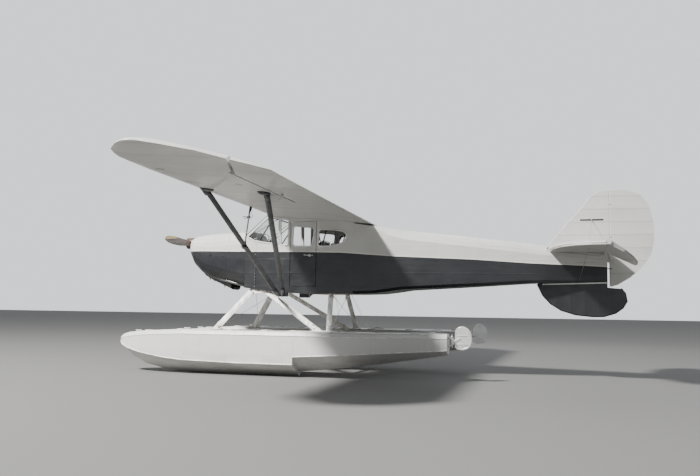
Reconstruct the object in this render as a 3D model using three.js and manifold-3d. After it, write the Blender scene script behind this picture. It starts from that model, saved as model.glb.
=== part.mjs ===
// High-wing cabin monoplane on twin single-step floats, in millimetres.
// +X points aft, +Y to starboard and +Z up. Stations are measured aft from the propeller disc
// and heights from the float keels; the finished group is centred over its own footprint.
import * as THREE from "three";
import { mergeVertices } from "three/addons/utils/BufferGeometryUtils.js";
import Module from "manifold-3d";

const wasm = await Module();
wasm.setup();

// Driving dimensions
const GAP = 0.3;
const RUN_GAP = 6;

const wing = {
  halfSpan: 5445,
  chord: 1676,
  leadingEdge: 1610,
  rootHeight: 2433,
  rootY: 564,
  incidence: 0.09,
  dihedral: 0.022,
  thickness: 0.12,
  camber: 0.04,
  camberAt: 0.4,
  noseLift: 0.032,
  frontSpar: 144,
  rearSpar: 985,
  strutY: 3130,
};

const aileron = {
  hinge: 1120,
  innerY: 2350,
  outerHingeY: 4350,
  outerTrail: { aft: 1380, y: 5075 },
  outerClear: 100,
  noseRadius: 71,
  slotRadius: 78,
  hingeRise: 71,
};

const cabin = {
  front: 1200,
  rear: 3000,
  wall: 30,
  floorThickness: 35,
  floorTop: 1263,
  frontHalfWidth: 505,
  rearHalfWidth: 556,
  wide: { x: 1900, halfWidth: 564 },
  sill: 2108,
};

// Underside of the cabin: x, z
const bellyLine = [
  [cabin.front, 1298],
  [1800, 1228],
  [2200, 1212],
  [cabin.rear, 1216],
];

// Front edge of each cabin side, from the nose deck to the wing: x, z
const postLine = [
  [1212, 2118],
  [1640, 2478],
];

const door = {
  front: 1985,
  rear: 2404,
  bottom: 1330,
  top: 2325,
  gap: 7,
  hingeX: 1982,
  hingeY: 570,
  hinges: [1500, 2180],
};

// Hinge lugs of the control surfaces: half thickness, radius at the axis and arm half height
const lug = { half: 6, radius: 20, arm: 12 };
const hingeSeats = {
  aileron: [2600, 3400, 4200],
  elevator: [350, 1150],
  rudder: [1620, 2080, 2560],
};

const prop = { hubHeight: 2052, radius: 910, hubHalf: 64, hubRadius: 92, plateRadius: 78, shaftRadius: 26 };

const cowl = {
  rear: 1185,
  wall: 12,
  split: 1872,
  inletY: -85,
  inletZ: 1905,
  inletRadius: 48,
  outletX: [1040, 1160],
  exhaust: { from: 700, to: 890, y: -50, radius: 28, bore: 23, boreDepth: 60 },
};

const engine = { front: 260, top: 2120, halfWidth: 150 };

const tail = {
  post: 6700,
  rudderHinge: 6752,
  elevatorHinge: 6662,
  planeHeight: 1890,
  planeThickness: 60,
  finThickness: 50,
  halfSpan: 1510,
  elevatorEnd: 7145,
  elevatorDroop: 30,
  end: 7350,
};

const float = {
  centreY: 1060,
  bow: -590,
  step: 2350,
  stern: 4530,
  deck: 650,
};

const rig = {
  footY: 800,
  frontFootX: 836,
  rearFootX: 2700,
  frontFittingX: 1360,
  rearFittingX: 2625,
  fittingY: 440,
  liftRootX: 1850,
  liftRootY: 590,
  liftRootZ: 1180,
  juryShare: 0.505,
  juryHeadX: 1715,
  juryHeadY: 1530,
  juryRadius: 11,
};

// Small helpers on solids

const v3 = (x, y, z) => new THREE.Vector3(x, y, z);

function solidOf(geometry) {
  const bare = geometry.clone();
  bare.deleteAttribute("normal");
  bare.deleteAttribute("uv");
  const merged = mergeVertices(bare, 1e-3);
  return new wasm.Manifold(
    new wasm.Mesh({
      numProp: 3,
      vertProperties: new Float32Array(merged.attributes.position.array),
      triVerts: new Uint32Array(merged.index.array),
    }),
  );
}

function geometryOf(solid) {
  const mesh = solid.getMesh();
  const geometry = new THREE.BufferGeometry();
  geometry.setAttribute("position", new THREE.BufferAttribute(new Float32Array(mesh.vertProperties), 3));
  geometry.setIndex(new THREE.BufferAttribute(new Uint32Array(mesh.triVerts), 1));
  const flat = geometry.toNonIndexed();
  flat.computeVertexNormals();
  return flat;
}

// A closed solid through rings of points, each ring an array of Vector3 in the same order.
function loft(rings) {
  const count = rings[0].length;
  const points = rings.flat();
  const faces = [];
  for (let r = 0; r < rings.length - 1; r += 1) {
    for (let i = 0; i < count; i += 1) {
      const j = (i + 1) % count;
      const a = r * count + i;
      const b = r * count + j;
      const c = a + count;
      const d = b + count;
      faces.push([a, b, d], [a, d, c]);
    }
  }
  const cap = (ring, flip) => {
    const middle = points.length;
    const centre = v3(0, 0, 0);
    rings[ring].forEach((p) => centre.add(p));
    points.push(centre.divideScalar(count));
    for (let i = 0; i < count; i += 1) {
      const a = ring * count + i;
      const b = ring * count + ((i + 1) % count);
      faces.push(flip ? [middle, b, a] : [middle, a, b]);
    }
  };
  cap(0, true);
  cap(rings.length - 1, false);
  const geometry = new THREE.BufferGeometry();
  const flatPoints = new Float32Array(points.flatMap((p) => [p.x, p.y, p.z]));
  geometry.setAttribute("position", new THREE.BufferAttribute(flatPoints, 3));
  geometry.setIndex(faces.flat());
  return outward(geometry);
}

function outward(geometry) {
  const index = geometry.index.array;
  const p = geometry.attributes.position;
  let volume = 0;
  for (let i = 0; i < index.length; i += 3) {
    const a = v3().fromBufferAttribute(p, index[i]);
    const b = v3().fromBufferAttribute(p, index[i + 1]);
    const c = v3().fromBufferAttribute(p, index[i + 2]);
    volume += a.dot(b.cross(c));
  }
  if (volume < 0) {
    for (let i = 0; i < index.length; i += 3) {
      const keep = index[i];
      index[i] = index[i + 1];
      index[i + 1] = keep;
    }
  }
  return solidOf(geometry);
}

const shapeOf = (points) => new THREE.Shape(points.map(([x, y]) => new THREE.Vector2(x, y)));

// A prism over an outline in the XZ plane, from y0 to y1.
function sidePrism(outline, y0, y1) {
  const shape = Array.isArray(outline) ? shapeOf(outline) : outline;
  const geometry = new THREE.ExtrudeGeometry(shape, { depth: y1 - y0, bevelEnabled: false, curveSegments: 6 });
  geometry.rotateX(Math.PI / 2);
  geometry.translate(0, y1, 0);
  return solidOf(geometry);
}

// A prism over an outline in the XY plane, from z0 to z1.
function planPrism(outline, z0, z1) {
  const shape = Array.isArray(outline) ? shapeOf(outline) : outline;
  const geometry = new THREE.ExtrudeGeometry(shape, { depth: z1 - z0, bevelEnabled: false, curveSegments: 6 });
  geometry.translate(0, 0, z0);
  return solidOf(geometry);
}

function box(x0, x1, y0, y1, z0, z1) {
  const geometry = new THREE.BoxGeometry(x1 - x0, y1 - y0, z1 - z0);
  geometry.translate((x0 + x1) / 2, (y0 + y1) / 2, (z0 + z1) / 2);
  return solidOf(geometry);
}

function rod(a, b, radius, sides = 12) {
  const along = b.clone().sub(a);
  const geometry = new THREE.CylinderGeometry(radius, radius, along.length(), sides);
  const turn = new THREE.Quaternion().setFromUnitVectors(v3(0, 1, 0), along.clone().normalize());
  geometry.applyQuaternion(turn);
  const middle = a.clone().add(b).multiplyScalar(0.5);
  geometry.translate(middle.x, middle.y, middle.z);
  return solidOf(geometry);
}

function join(...solids) {
  return solids.reduce((sum, next) => sum.add(next));
}

const mirrorY = (solid) => solid.mirror([0, 1, 0]);

// A round-ended lug about a hinge line along Y through (x, z), reaching forward by reach,
// and the notch that the moving surface keeps for it.
function lugAlongY(x, y, z, reach) {
  const end = rod(v3(x, y - lug.half, z), v3(x, y + lug.half, z), lug.radius, 16);
  return join(end, box(x - reach, x, y - lug.half, y + lug.half, z - lug.arm, z + lug.arm));
}

function notchAlongY(x, y, z, depth) {
  const clear = lug.half + GAP;
  return box(x - depth, x + lug.radius + 1, y - clear, y + clear, z - depth, z + depth);
}

// A point turned about a line along Y through (x, z), positive lifting the trailing edge.
function turnAboutY(solid, x, z, degrees) {
  const moved = geometryOf(solid);
  moved.translate(-x, 0, -z);
  moved.rotateY(-THREE.MathUtils.degToRad(degrees));
  moved.translate(x, 0, z);
  return solidOf(moved);
}

// A streamlined strut: a teardrop section with its chord fore and aft, drawn from a to b.
// Both ends are cut square to the axis named by cut.
const strutSection = [
  [-0.5, 0],
  [-0.42, 0.3],
  [-0.2, 0.5],
  [0.1, 0.42],
  [0.5, 0.06],
  [0.5, -0.06],
  [0.1, -0.42],
  [-0.2, -0.5],
  [-0.42, -0.3],
];

function strut(a, b, chord, thickness, cut) {
  const ring = (p) =>
    strutSection.map(([s, t]) =>
      cut === "y" ? v3(p.x + s * chord, p.y, p.z + t * thickness) : v3(p.x + s * chord, p.y + t * thickness, p.z),
    );
  return loft([ring(a), ring(b)]);
}

// Materials
const finish = (color, roughness, metalness) => new THREE.MeshStandardMaterial({ color, roughness, metalness });
const paint = {
  light: finish(0xb9b6ad, 0.5, 0.0),
  dark: finish(0x22242a, 0.42, 0.0),
  wingFabric: finish(0xc4c1b6, 0.6, 0.0),
  white: finish(0xe9e7e0, 0.38, 0.0),
  glass: finish(0xc9d6d8, 0.08, 0.0),
  wood: finish(0x4a2f1d, 0.45, 0.0),
  metal: finish(0x9a9da0, 0.35, 0.9),
  iron: finish(0x3b3a38, 0.6, 0.7),
  leather: finish(0x4d3b2c, 0.6, 0.0),
  interior: finish(0x6e6a60, 0.8, 0.0),
};

const group = new THREE.Group();

function place(name, solid, material) {
  const mesh = new THREE.Mesh(geometryOf(solid), material);
  mesh.name = name;
  group.add(mesh);
  return solid;
}

// Wings

const wingUnderside = (aft, y) =>
  wing.rootHeight - wing.incidence * aft + wing.dihedral * (y - wing.rootY);

// Cambered section by the four-digit formula, as fractions of the chord.
const sectionStations = [1, 0.85, 0.68, 0.5, 0.34, 0.2, 0.1, 0.03, 0];
function aerofoil(c, thickness) {
  const half =
    5 * thickness * (0.2969 * Math.sqrt(c) - 0.126 * c - 0.3516 * c ** 2 + 0.2843 * c ** 3 - 0.1036 * c ** 4);
  const m = wing.camber;
  const p = wing.camberAt;
  const mean = c < p ? (m / p ** 2) * (2 * p * c - c * c) : (m / (1 - p) ** 2) * (1 - 2 * p + 2 * p * c - c * c);
  return { upper: mean + half, lower: mean - half };
}

function wingRing(y, aft0, aft1, thickness, lift) {
  const chord = aft1 - aft0;
  const blunt = 0.0025;
  const upper = sectionStations.map((c) => [c, aerofoil(c, thickness).upper + blunt]);
  const lower = sectionStations
    .slice(0, -1)
    .reverse()
    .map((c) => [c, aerofoil(c, thickness).lower - blunt]);
  return [...upper, ...lower].map(([c, h]) => {
    const aft = aft0 + c * chord;
    const height = (h + wing.noseLift * (1 - c)) * chord;
    return v3(wing.leadingEdge + aft, y, wingUnderside(aft, y) + lift + height);
  });
}

// Columns: y, leading edge aft of the straight one, trailing edge, thickness ratio, rise of the tip
const wingStations = [
  [wing.rootY + GAP, 0, wing.chord, wing.thickness, 0],
  [aileron.innerY, 0, wing.chord, wing.thickness, 0],
  [4300, 0, wing.chord, wing.thickness, 0],
  [4700, 0, 1670, wing.thickness, 6],
  [4900, 0, 1525, wing.thickness, 14],
  [5050, 40, 1375, 0.118, 24],
  [5190, 150, 1228, 0.112, 38],
  [5300, 250, 1095, 0.105, 54],
  [5380, 335, 890, 0.1, 68],
  [5425, 400, 745, 0.09, 80],
  [wing.halfSpan, 480, 630, 0.07, 88],
];

const wingWhole = loft(wingStations.map((row) => wingRing(...row)));

const hingeHeight = (y) => wingUnderside(aileron.hinge, y) + aileron.hingeRise;
const hingeX = wing.leadingEdge + aileron.hinge;

// The room of one aileron: behind the hinge line and a round nose about it, grown by clear at the
// inner end and by outerClear at the slanting outer end, which swings past the wing tip.
function aileronZone(radius, clear, outerClear) {
  const behind = wing.leadingEdge + wing.chord + 60;
  const inner = aileron.innerY - clear;
  const outer = aileron.outerHingeY + outerClear;
  const plan = planPrism(
    [
      [hingeX, inner],
      [hingeX, outer],
      [wing.leadingEdge + aileron.outerTrail.aft, aileron.outerTrail.y + outerClear],
      [behind, aileron.outerTrail.y + outerClear],
      [behind, inner],
    ],
    2000,
    3000,
  );
  const nose = rod(v3(hingeX, inner, hingeHeight(inner)), v3(hingeX, outer, hingeHeight(outer)), radius, 20);
  return join(plan, nose);
}

// Lugs stand square to the hinge line, which rises with the dihedral.
const dihedralTilt = THREE.MathUtils.radToDeg(Math.atan(wing.dihedral));
const onHingeLine = (solid, y) => solid.rotate([dihedralTilt, 0, 0]).translate([hingeX, y, hingeHeight(y)]);
const aileronSlot = aileronZone(aileron.slotRadius, RUN_GAP, aileron.outerClear);
let wingRight = wingWhole.subtract(aileronSlot);
let aileronRight = wingWhole.intersect(aileronZone(aileron.noseRadius, 0, 0));
hingeSeats.aileron.forEach((y) => {
  wingRight = wingRight.add(onHingeLine(lugAlongY(0, 0, 0, aileron.slotRadius + 8), y));
  aileronRight = aileronRight.subtract(onHingeLine(notchAlongY(0, 0, 0, aileron.noseRadius + 4), y));
});
const wingLeft = mirrorY(wingRight);

place("wing_right", wingRight, paint.wingFabric);
place("wing_left", wingLeft, paint.wingFabric);
place("aileron_right", aileronRight, paint.wingFabric);
place("aileron_left", mirrorY(aileronRight), paint.wingFabric);

// Centre section over the cabin, level from side to side
const rootRing = wingRing(wing.rootY, 0, wing.chord, wing.thickness, 0);
const roofRings = [-wing.rootY, wing.rootY].map((y) => rootRing.map((p) => v3(p.x, y, p.z)));
const roof = place("roof_centre_section", loft(roofRings), paint.wingFabric);

// Cabin

const cabinPlan = (inset) => {
  const rows = [
    [cabin.front, cabin.frontHalfWidth],
    [cabin.wide.x, cabin.wide.halfWidth],
    [cabin.rear, cabin.rearHalfWidth],
  ];
  const right = rows.map(([x, w]) => [x, w - inset]);
  const left = rows.map(([x, w]) => [x, -w + inset]).reverse();
  return [...right, ...left];
};

const cabinTop = (x) => wingUnderside(x - wing.leadingEdge, wing.rootY);
const wallProfile = [
  ...bellyLine,
  [cabin.rear, cabinTop(cabin.rear) + 40],
  ...[...postLine].reverse(),
  [cabin.front, cabin.sill],
];
function bellyAt(x) {
  const next = bellyLine.findIndex((row) => row[0] >= x);
  const [x0, z0] = bellyLine[next - 1];
  const [x1, z1] = bellyLine[next];
  return z0 + ((z1 - z0) * (x - x0)) / (x1 - x0);
}

// Corners eased by a curve of three steps
function softened(outline, radius) {
  const count = outline.length;
  return outline.flatMap((corner, i) => {
    const here = new THREE.Vector2(...corner);
    const before = new THREE.Vector2(...outline[(i + count - 1) % count]).sub(here);
    const after = new THREE.Vector2(...outline[(i + 1) % count]).sub(here);
    const turn = Math.acos(before.dot(after) / (before.length() * after.length()));
    const cut = Math.min(radius / Math.tan(turn / 2), before.length() * 0.45, after.length() * 0.45);
    const first = here.clone().addScaledVector(before.normalize(), cut);
    const last = here.clone().addScaledVector(after.normalize(), cut);
    return new THREE.QuadraticBezierCurve(first, here, last).getPoints(3).map((p) => [p.x, p.y]);
  });
}

const windows = {
  windshield_side: softened(
    [
      [1248, 2106],
      [1582, 2388],
      [1612, 2400],
      [1775, 2384],
      [1785, 1988],
      [1677, 1996],
      [1520, 2015],
      [1368, 2042],
    ],
    14,
  ),
  quarter_window: softened(
    [
      [1822, 1975],
      [1815, 2378],
      [1945, 2366],
      [1945, 1960],
    ],
    32,
  ),
  door_window: softened(
    [
      [2020, 1950],
      [2030, 2262],
      [2378, 2226],
      [2336, 1945],
    ],
    48,
  ),
  rear_window: softened(
    [
      [2436, 1944],
      [2456, 2200],
      [2690, 2190],
      [2840, 2166],
      [2896, 2106],
      [2868, 2036],
      [2795, 1980],
      [2640, 1948],
    ],
    46,
  ),
};

const cabinRing = planPrism(cabinPlan(0), 1100, 2600).subtract(planPrism(cabinPlan(cabin.wall), 1050, 2650));
const wallSlab = sidePrism(wallProfile, 300, 700).subtract(roof.translate([0, 0, -GAP]));
const doorBlank = box(door.front, door.rear, 300, 700, door.bottom, door.top);
const doorHole = box(
  door.front - door.gap,
  door.rear + door.gap,
  300,
  700,
  door.bottom - door.gap,
  door.top + door.gap,
);

let wallRight = cabinRing.intersect(wallSlab).subtract(doorHole);
["windshield_side", "quarter_window", "rear_window"].forEach((name) => {
  wallRight = wallRight.subtract(sidePrism(windows[name], 300, 700));
});
let doorRight = cabinRing.intersect(doorBlank).subtract(sidePrism(windows.door_window, 300, 700));

// Door hinges: a knuckle on the wall between two on the door, each on a short leaf
const knuckle = { radius: 8, half: 22, leaf: 26, end: 20 };
const skinY = cabin.wide.halfWidth - 1;
function knuckleAt(z0, z1, side) {
  const barrel = rod(v3(door.hingeX, door.hingeY, z0), v3(door.hingeX, door.hingeY, z1), knuckle.radius, 12);
  const x0 = Math.min(door.hingeX, door.hingeX + side * knuckle.leaf);
  const x1 = Math.max(door.hingeX, door.hingeX + side * knuckle.leaf);
  return join(barrel, box(x0, x1, skinY - 4, door.hingeY, z0, z1));
}
const knuckleRoom = (z, half) =>
  rod(v3(door.hingeX, door.hingeY, z - half), v3(door.hingeX, door.hingeY, z + half), knuckle.radius + 2, 16);
door.hinges.forEach((z) => {
  const room = knuckle.half + knuckle.end + GAP;
  wallRight = wallRight.subtract(knuckleRoom(z, room)).add(knuckleAt(z - knuckle.half, z + knuckle.half, -1));
  doorRight = doorRight
    .subtract(knuckleRoom(z, room))
    .add(knuckleAt(z + knuckle.half + GAP, z + knuckle.half + knuckle.end, 1))
    .add(knuckleAt(z - knuckle.half - knuckle.end, z - knuckle.half - GAP, 1));
});
place("cabin_wall_right", wallRight, paint.light);
place("cabin_wall_left", mirrorY(wallRight), paint.light);
place("door_right", doorRight, paint.light);
place("door_left", mirrorY(doorRight), paint.light);

// Glass sits inside each opening, 0.3 mm clear of its edges.
function shrink(outline, amount) {
  const cx = outline.reduce((s, p) => s + p[0], 0) / outline.length;
  const cz = outline.reduce((s, p) => s + p[1], 0) / outline.length;
  return outline.map(([x, z]) => {
    const length = Math.hypot(x - cx, z - cz);
    return [x - ((x - cx) / length) * amount, z - ((z - cz) / length) * amount];
  });
}

const paneRing = planPrism(cabinPlan(11), 1100, 2600).subtract(planPrism(cabinPlan(17), 1050, 2650));
Object.entries(windows).forEach(([name, outline]) => {
  const pane = paneRing.intersect(sidePrism(shrink(outline, 0.5), 300, 700));
  place(name + "_right", pane, paint.glass);
  place(name + "_left", mirrorY(pane), paint.glass);
});

const betweenWalls = planPrism(cabinPlan(cabin.wall + GAP), 1100, 2600);
const floorProfile = [
  ...bellyLine.slice(0, -1),
  [cabin.rear - GAP, bellyLine[3][1]],
  [cabin.rear - GAP, cabin.floorTop],
  [bellyLine[1][0], cabin.floorTop],
  [cabin.front, bellyLine[0][1] + cabin.floorThickness],
];
const floorPlate = betweenWalls.intersect(sidePrism(floorProfile, -700, 700));
place("cabin_floor", floorPlate, paint.interior);

// Rear fuselage, a solid body of flat sides under a rounded deck

function hullRing(x, halfWidth, bottom, shoulder, ridge) {
  const ring = [v3(x, -halfWidth * 0.93, bottom), v3(x, halfWidth * 0.93, bottom)];
  ring.push(v3(x, halfWidth, bottom + 40));
  const steps = 8;
  for (let i = 0; i <= steps; i += 1) {
    const a = (Math.PI * i) / steps;
    ring.push(v3(x, halfWidth * Math.cos(a), shoulder + (ridge - shoulder) * Math.sin(a)));
  }
  ring.push(v3(x, -halfWidth, bottom + 40));
  return ring;
}

// Columns: x, half width, bottom, shoulder, ridge
const hullStations = [
  [cabin.rear + GAP, cabin.rearHalfWidth, 1216, 2290, 2320],
  [3290, 540, 1226, 2240, 2283],
  [3500, 517, 1252, 2120, 2246],
  [3750, 488, 1290, 2045, 2216],
  [4600, 385, 1338, 1950, 2120],
  [5600, 240, 1400, 1840, 1998],
  [5830, 205, 1407, 1812, 1955],
  [tail.post, 45, 1426, 1745, 1858],
];
const seatHeight = tail.planeHeight - tail.planeThickness / 2 - GAP;
const rearHull = loft(hullStations.map((row) => hullRing(...row)))
  .subtract(box(5850, 7000, -400, 400, seatHeight, 2200))
  .subtract(roof.translate([0, 0, -GAP]));

// Engine bay

function noseRing(x, halfWidth, bottom, top, power) {
  const count = 28;
  const middle = (bottom + top) / 2;
  const half = (top - bottom) / 2;
  const ring = [];
  for (let i = 0; i < count; i += 1) {
    const a = (2 * Math.PI * i) / count;
    const c = Math.cos(a);
    const s = Math.sin(a);
    const y = halfWidth * Math.sign(c) * Math.abs(c) ** (2 / power);
    const z = middle + half * Math.sign(s) * Math.abs(s) ** (2 / power);
    ring.push(v3(x, y, z));
  }
  return ring;
}

// Columns: x, half width, bottom, top, squareness
const cowlStations = [
  [72, 150, 1850, 2085, 2.4],
  [84, 200, 1800, 2128, 2.4],
  [160, 258, 1668, 2162, 2.6],
  [300, 305, 1545, 2182, 2.9],
  [480, 340, 1448, 2196, 3.1],
  [700, 385, 1388, 2206, 3.5],
  [930, 440, 1340, 2210, 4],
  [cowl.rear, 501, 1300, 2213, 4.8],
];
const cowlInner = cowlStations.map(([x, w, b, t, p], i) => {
  const shifts = [cowl.wall, cowl.wall, 4, 4, 4, 4, 4, 20];
  return [x + shifts[i], w - cowl.wall, b + cowl.wall, t - cowl.wall, p];
});
const cowlForm = loft(cowlStations.map((row) => noseRing(...row)));
const cowlHollow = loft(cowlInner.map((row) => noseRing(...row)));
const cowlShell = cowlForm.subtract(cowlHollow);
const airInlet = rod(v3(40, cowl.inletY, cowl.inletZ), v3(220, cowl.inletY, cowl.inletZ), cowl.inletRadius, 16);
const shaftHole = rod(v3(40, 0, prop.hubHeight), v3(300, 0, prop.hubHeight), prop.shaftRadius + 8, 16);
const outletHole = box(...cowl.outletX, -150, 150, 1200, 1400);

// Chin duct: a trough hung under the engine bay, open to the rear
// Columns: x, half width, bottom
const chinStations = [
  [230, 110, 1600],
  [340, 140, 1498],
  [480, 160, 1424],
  [660, 180, 1350],
  [830, 190, 1278],
];
const chinHeight = 150;
function chinRing([x, halfWidth, bottom], wall) {
  const half = halfWidth - wall;
  const low = bottom + wall;
  const right = [
    [half * 0.45, low],
    [half * 0.8, low + 8],
    [half, low + 40],
    [half, bottom + chinHeight],
  ];
  const left = right.map(([y, z]) => [-y, z]).reverse();
  return [...right, ...left].map(([y, z]) => v3(x, y, z));
}
const chinWall = 8;
const chinMouth = chinStations[chinStations.length - 1];
const chinInner = [
  [chinStations[0][0] + 30, chinStations[0][1], chinStations[0][2] - 25],
  ...chinStations.slice(1),
  [chinMouth[0] + 40, chinMouth[1], chinMouth[2] - 17],
];
const chinDuct = loft(chinStations.map((row) => chinRing(row, 0)))
  .subtract(loft(chinInner.map((row) => chinRing(row, chinWall))))
  .subtract(cowlHollow);
const cowlUpper = cowlShell
  .intersect(box(0, 1400, -700, 700, cowl.split, 2400))
  .subtract(shaftHole)
  .subtract(airInlet);
const cowlLower = join(cowlShell, chinDuct)
  .intersect(box(0, 1400, -700, 700, 1000, cowl.split - GAP))
  .subtract(airInlet)
  .subtract(outletHole);
place("cowl_upper", cowlUpper, paint.light);
place("cowl_lower", cowlLower, paint.dark);

const firewallRow = [500, 1301, 2212, 4.8];
const firewallPlate = loft([
  noseRing(cowl.rear + GAP, ...firewallRow),
  noseRing(cabin.front - GAP, ...firewallRow),
]);
place("firewall", firewallPlate, paint.metal);

const engineProfile = [
  [engine.front, 1700],
  [640, 1470],
  [cowl.rear, 1430],
  [cowl.rear, engine.top],
  [engine.front, engine.top],
];
place("engine_block", sidePrism(engineProfile, -engine.halfWidth, engine.halfWidth), paint.iron);

// The exhaust pipe lies on the sloping floor of the chin duct and ends just behind its mouth.
const pipe = cowl.exhaust;
const [floorFront, floorRear] = chinStations.slice(-2);
const floorSlope = (floorRear[2] - floorFront[2]) / (floorRear[0] - floorFront[0]);
const pipeRise = (pipe.radius + GAP) * Math.hypot(1, floorSlope);
const pipeAt = (x) => v3(x, pipe.y, floorFront[2] + chinWall + pipeRise + floorSlope * (x - floorFront[0]));
const exhaust = rod(pipeAt(pipe.from), pipeAt(pipe.to), pipe.radius, 14)
  .subtract(rod(pipeAt(pipe.to - pipe.boreDepth), pipeAt(pipe.to + 20), pipe.bore, 14))
  .subtract(cowlForm.translate([0, 0, -GAP]));
place("exhaust_stub", exhaust, paint.iron);

// Windshield: a bent pane each side of a shallow ridge, standing on the nose deck between the cabin sides

const shield = {
  thickness: 6,
  reach: 0.12,
  strips: 4,
  middle: { y: 0, footX: 1150, footZ: 2204, headX: 1618, headZ: 2468 },
  side: { y: 540, footX: 1222, footZ: 2126, headX: 1618, headZ: 2456 },
};
const deckForm = { from: 1000, to: 1300, halfWidth: 501, bottom: 1301, top: 2213, power: 4.8 };

function shieldRing(share) {
  const between = (key) => THREE.MathUtils.lerp(shield.middle[key], shield.side[key], share);
  const lowX = between("footX") - (between("headX") - between("footX")) * shield.reach;
  const lowZ = between("footZ") - (between("headZ") - between("footZ")) * shield.reach;
  return [
    v3(lowX, between("y"), lowZ),
    v3(between("headX"), between("y"), between("headZ")),
    v3(between("headX") + shield.thickness, between("y"), between("headZ") - shield.thickness),
    v3(lowX + shield.thickness, between("y"), lowZ - shield.thickness),
  ];
}

// Half width between the cabin sides at a station ahead of the widest frame
function innerHalfWidth(x) {
  const share = (x - cabin.front) / (cabin.wide.x - cabin.front);
  return THREE.MathUtils.lerp(cabin.frontHalfWidth, cabin.wide.halfWidth, share) - cabin.wall - GAP;
}

const deckSection = [deckForm.halfWidth, deckForm.bottom, deckForm.top, deckForm.power];
const noseDeck = loft([noseRing(deckForm.from, ...deckSection), noseRing(deckForm.to, ...deckSection)]);
const shieldSpace = planPrism(
  [
    [deckForm.from, 0],
    [cabin.wide.x, 0],
    [cabin.wide.x, innerHalfWidth(cabin.wide.x)],
    [deckForm.from, innerHalfWidth(deckForm.from)],
  ],
  2000,
  2600,
);
const shieldShares = Array.from({ length: shield.strips + 1 }, (_, i) => i / shield.strips);
const shieldHalf = loft(shieldShares.map(shieldRing))
  .intersect(shieldSpace)
  .subtract(noseDeck.translate([0, 0, GAP]))
  .subtract(roof.translate([0, 0, -GAP]));
const shieldPane = join(shieldHalf, mirrorY(shieldHalf));
place("windshield", shieldPane, paint.glass);

// Propeller: a two-blade wooden screw held across the nose

const bladeStations = [
  // r, chord, thickness, pitch degrees
  [0, 112, 100, 62],
  [90, 128, 84, 55],
  [250, 158, 48, 40],
  [480, 172, 28, 28],
  [700, 150, 18, 21],
  [840, 104, 11, 18],
  [prop.radius, 30, 6, 17],
];

function bladeRing([r, chord, thickness, pitch], side) {
  const a = THREE.MathUtils.degToRad(pitch);
  const steps = 12;
  const ring = [];
  for (let i = 0; i < steps; i += 1) {
    const t = (2 * Math.PI * i) / steps;
    const along = (chord / 2) * Math.cos(t);
    const across = (thickness / 2) * Math.sin(t);
    const x = along * Math.sin(a) + across * Math.cos(a);
    const z = side * (along * Math.cos(a) - across * Math.sin(a));
    ring.push(v3(x, side * r, prop.hubHeight + z));
  }
  return ring;
}

const blade = (side) => loft(bladeStations.map((row) => bladeRing(row, side)));
const onShaft = (x) => v3(x, 0, prop.hubHeight);
const hubBarrel = rod(onShaft(-prop.hubHalf), onShaft(prop.hubHalf), prop.hubRadius, 24);
place("propeller", join(blade(1), blade(-1), hubBarrel), paint.wood);
const hubPlate = rod(onShaft(-prop.hubHalf - 12), onShaft(-prop.hubHalf - GAP), prop.plateRadius, 24);
place("propeller_hub_plate", hubPlate, paint.metal);
const crankshaft = rod(onShaft(prop.hubHalf + GAP), onShaft(engine.front - GAP), prop.shaftRadius, 16);
place("propeller_shaft", crankshaft, paint.metal);

// Tail surfaces

function halfPlan(points, y0) {
  const right = points.map(([x, y]) => [x, y]);
  const left = points
    .filter(([, y]) => y > y0)
    .map(([x, y]) => [x, -y])
    .reverse();
  return [...right, ...left];
}

const planeBottom = tail.planeHeight - tail.planeThickness / 2;
const planeTop = tail.planeHeight + tail.planeThickness / 2;
const noseR = tail.planeThickness / 2;
const tailplaneOutline = halfPlan(
  [
    [5885, 0],
    [5900, 350],
    [5960, 760],
    [6070, 1120],
    [6240, 1370],
    [6440, 1480],
    [tail.elevatorHinge, tail.halfSpan],
  ],
  0,
);
const elevatorSlot = rod(
  v3(tail.elevatorHinge, -1700, tail.planeHeight),
  v3(tail.elevatorHinge, 1700, tail.planeHeight),
  noseR + RUN_GAP,
  20,
);
let tailplane = planPrism(tailplaneOutline, planeBottom, planeTop).subtract(elevatorSlot);
const elevatorLugs = hingeSeats.elevator.flatMap((y) => [y, -y]);
elevatorLugs.forEach((y) => {
  tailplane = tailplane.add(lugAlongY(tail.elevatorHinge, y, tail.planeHeight, noseR + RUN_GAP + 12));
});
place("tailplane", tailplane, paint.light);

const elevatorOutline = [
  [tail.elevatorHinge, 95],
  [6760, 110],
  [7125, 285],
  [7140, 520],
  [7110, 900],
  [7020, 1230],
  [6880, 1430],
  [tail.elevatorHinge, tail.halfSpan],
];
const elevatorNose = rod(
  v3(tail.elevatorHinge, 95, tail.planeHeight),
  v3(tail.elevatorHinge, tail.halfSpan, tail.planeHeight),
  noseR,
  20,
);
const wedge = sidePrism(
  [
    [tail.elevatorHinge, planeBottom],
    [tail.elevatorHinge, planeTop],
    [tail.elevatorEnd, tail.planeHeight + 6],
    [tail.elevatorEnd, tail.planeHeight - 6],
  ],
  -1700,
  1700,
);
const elevatorHalf = join(planPrism(elevatorOutline, planeBottom, planeTop).intersect(wedge), elevatorNose);
const torqueTube = rod(
  v3(tail.elevatorHinge, -120, tail.planeHeight),
  v3(tail.elevatorHinge, 120, tail.planeHeight),
  14,
  14,
);
const elevatorLevel = elevatorLugs.reduce(
  (whole, y) => whole.subtract(notchAlongY(tail.elevatorHinge, y, tail.planeHeight, noseR + 4)),
  join(elevatorHalf, mirrorY(elevatorHalf), torqueTube),
);
const elevator = turnAboutY(
  elevatorLevel,
  tail.elevatorHinge,
  tail.planeHeight,
  -tail.elevatorDroop,
);
place("elevator", elevator, paint.light);

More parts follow.
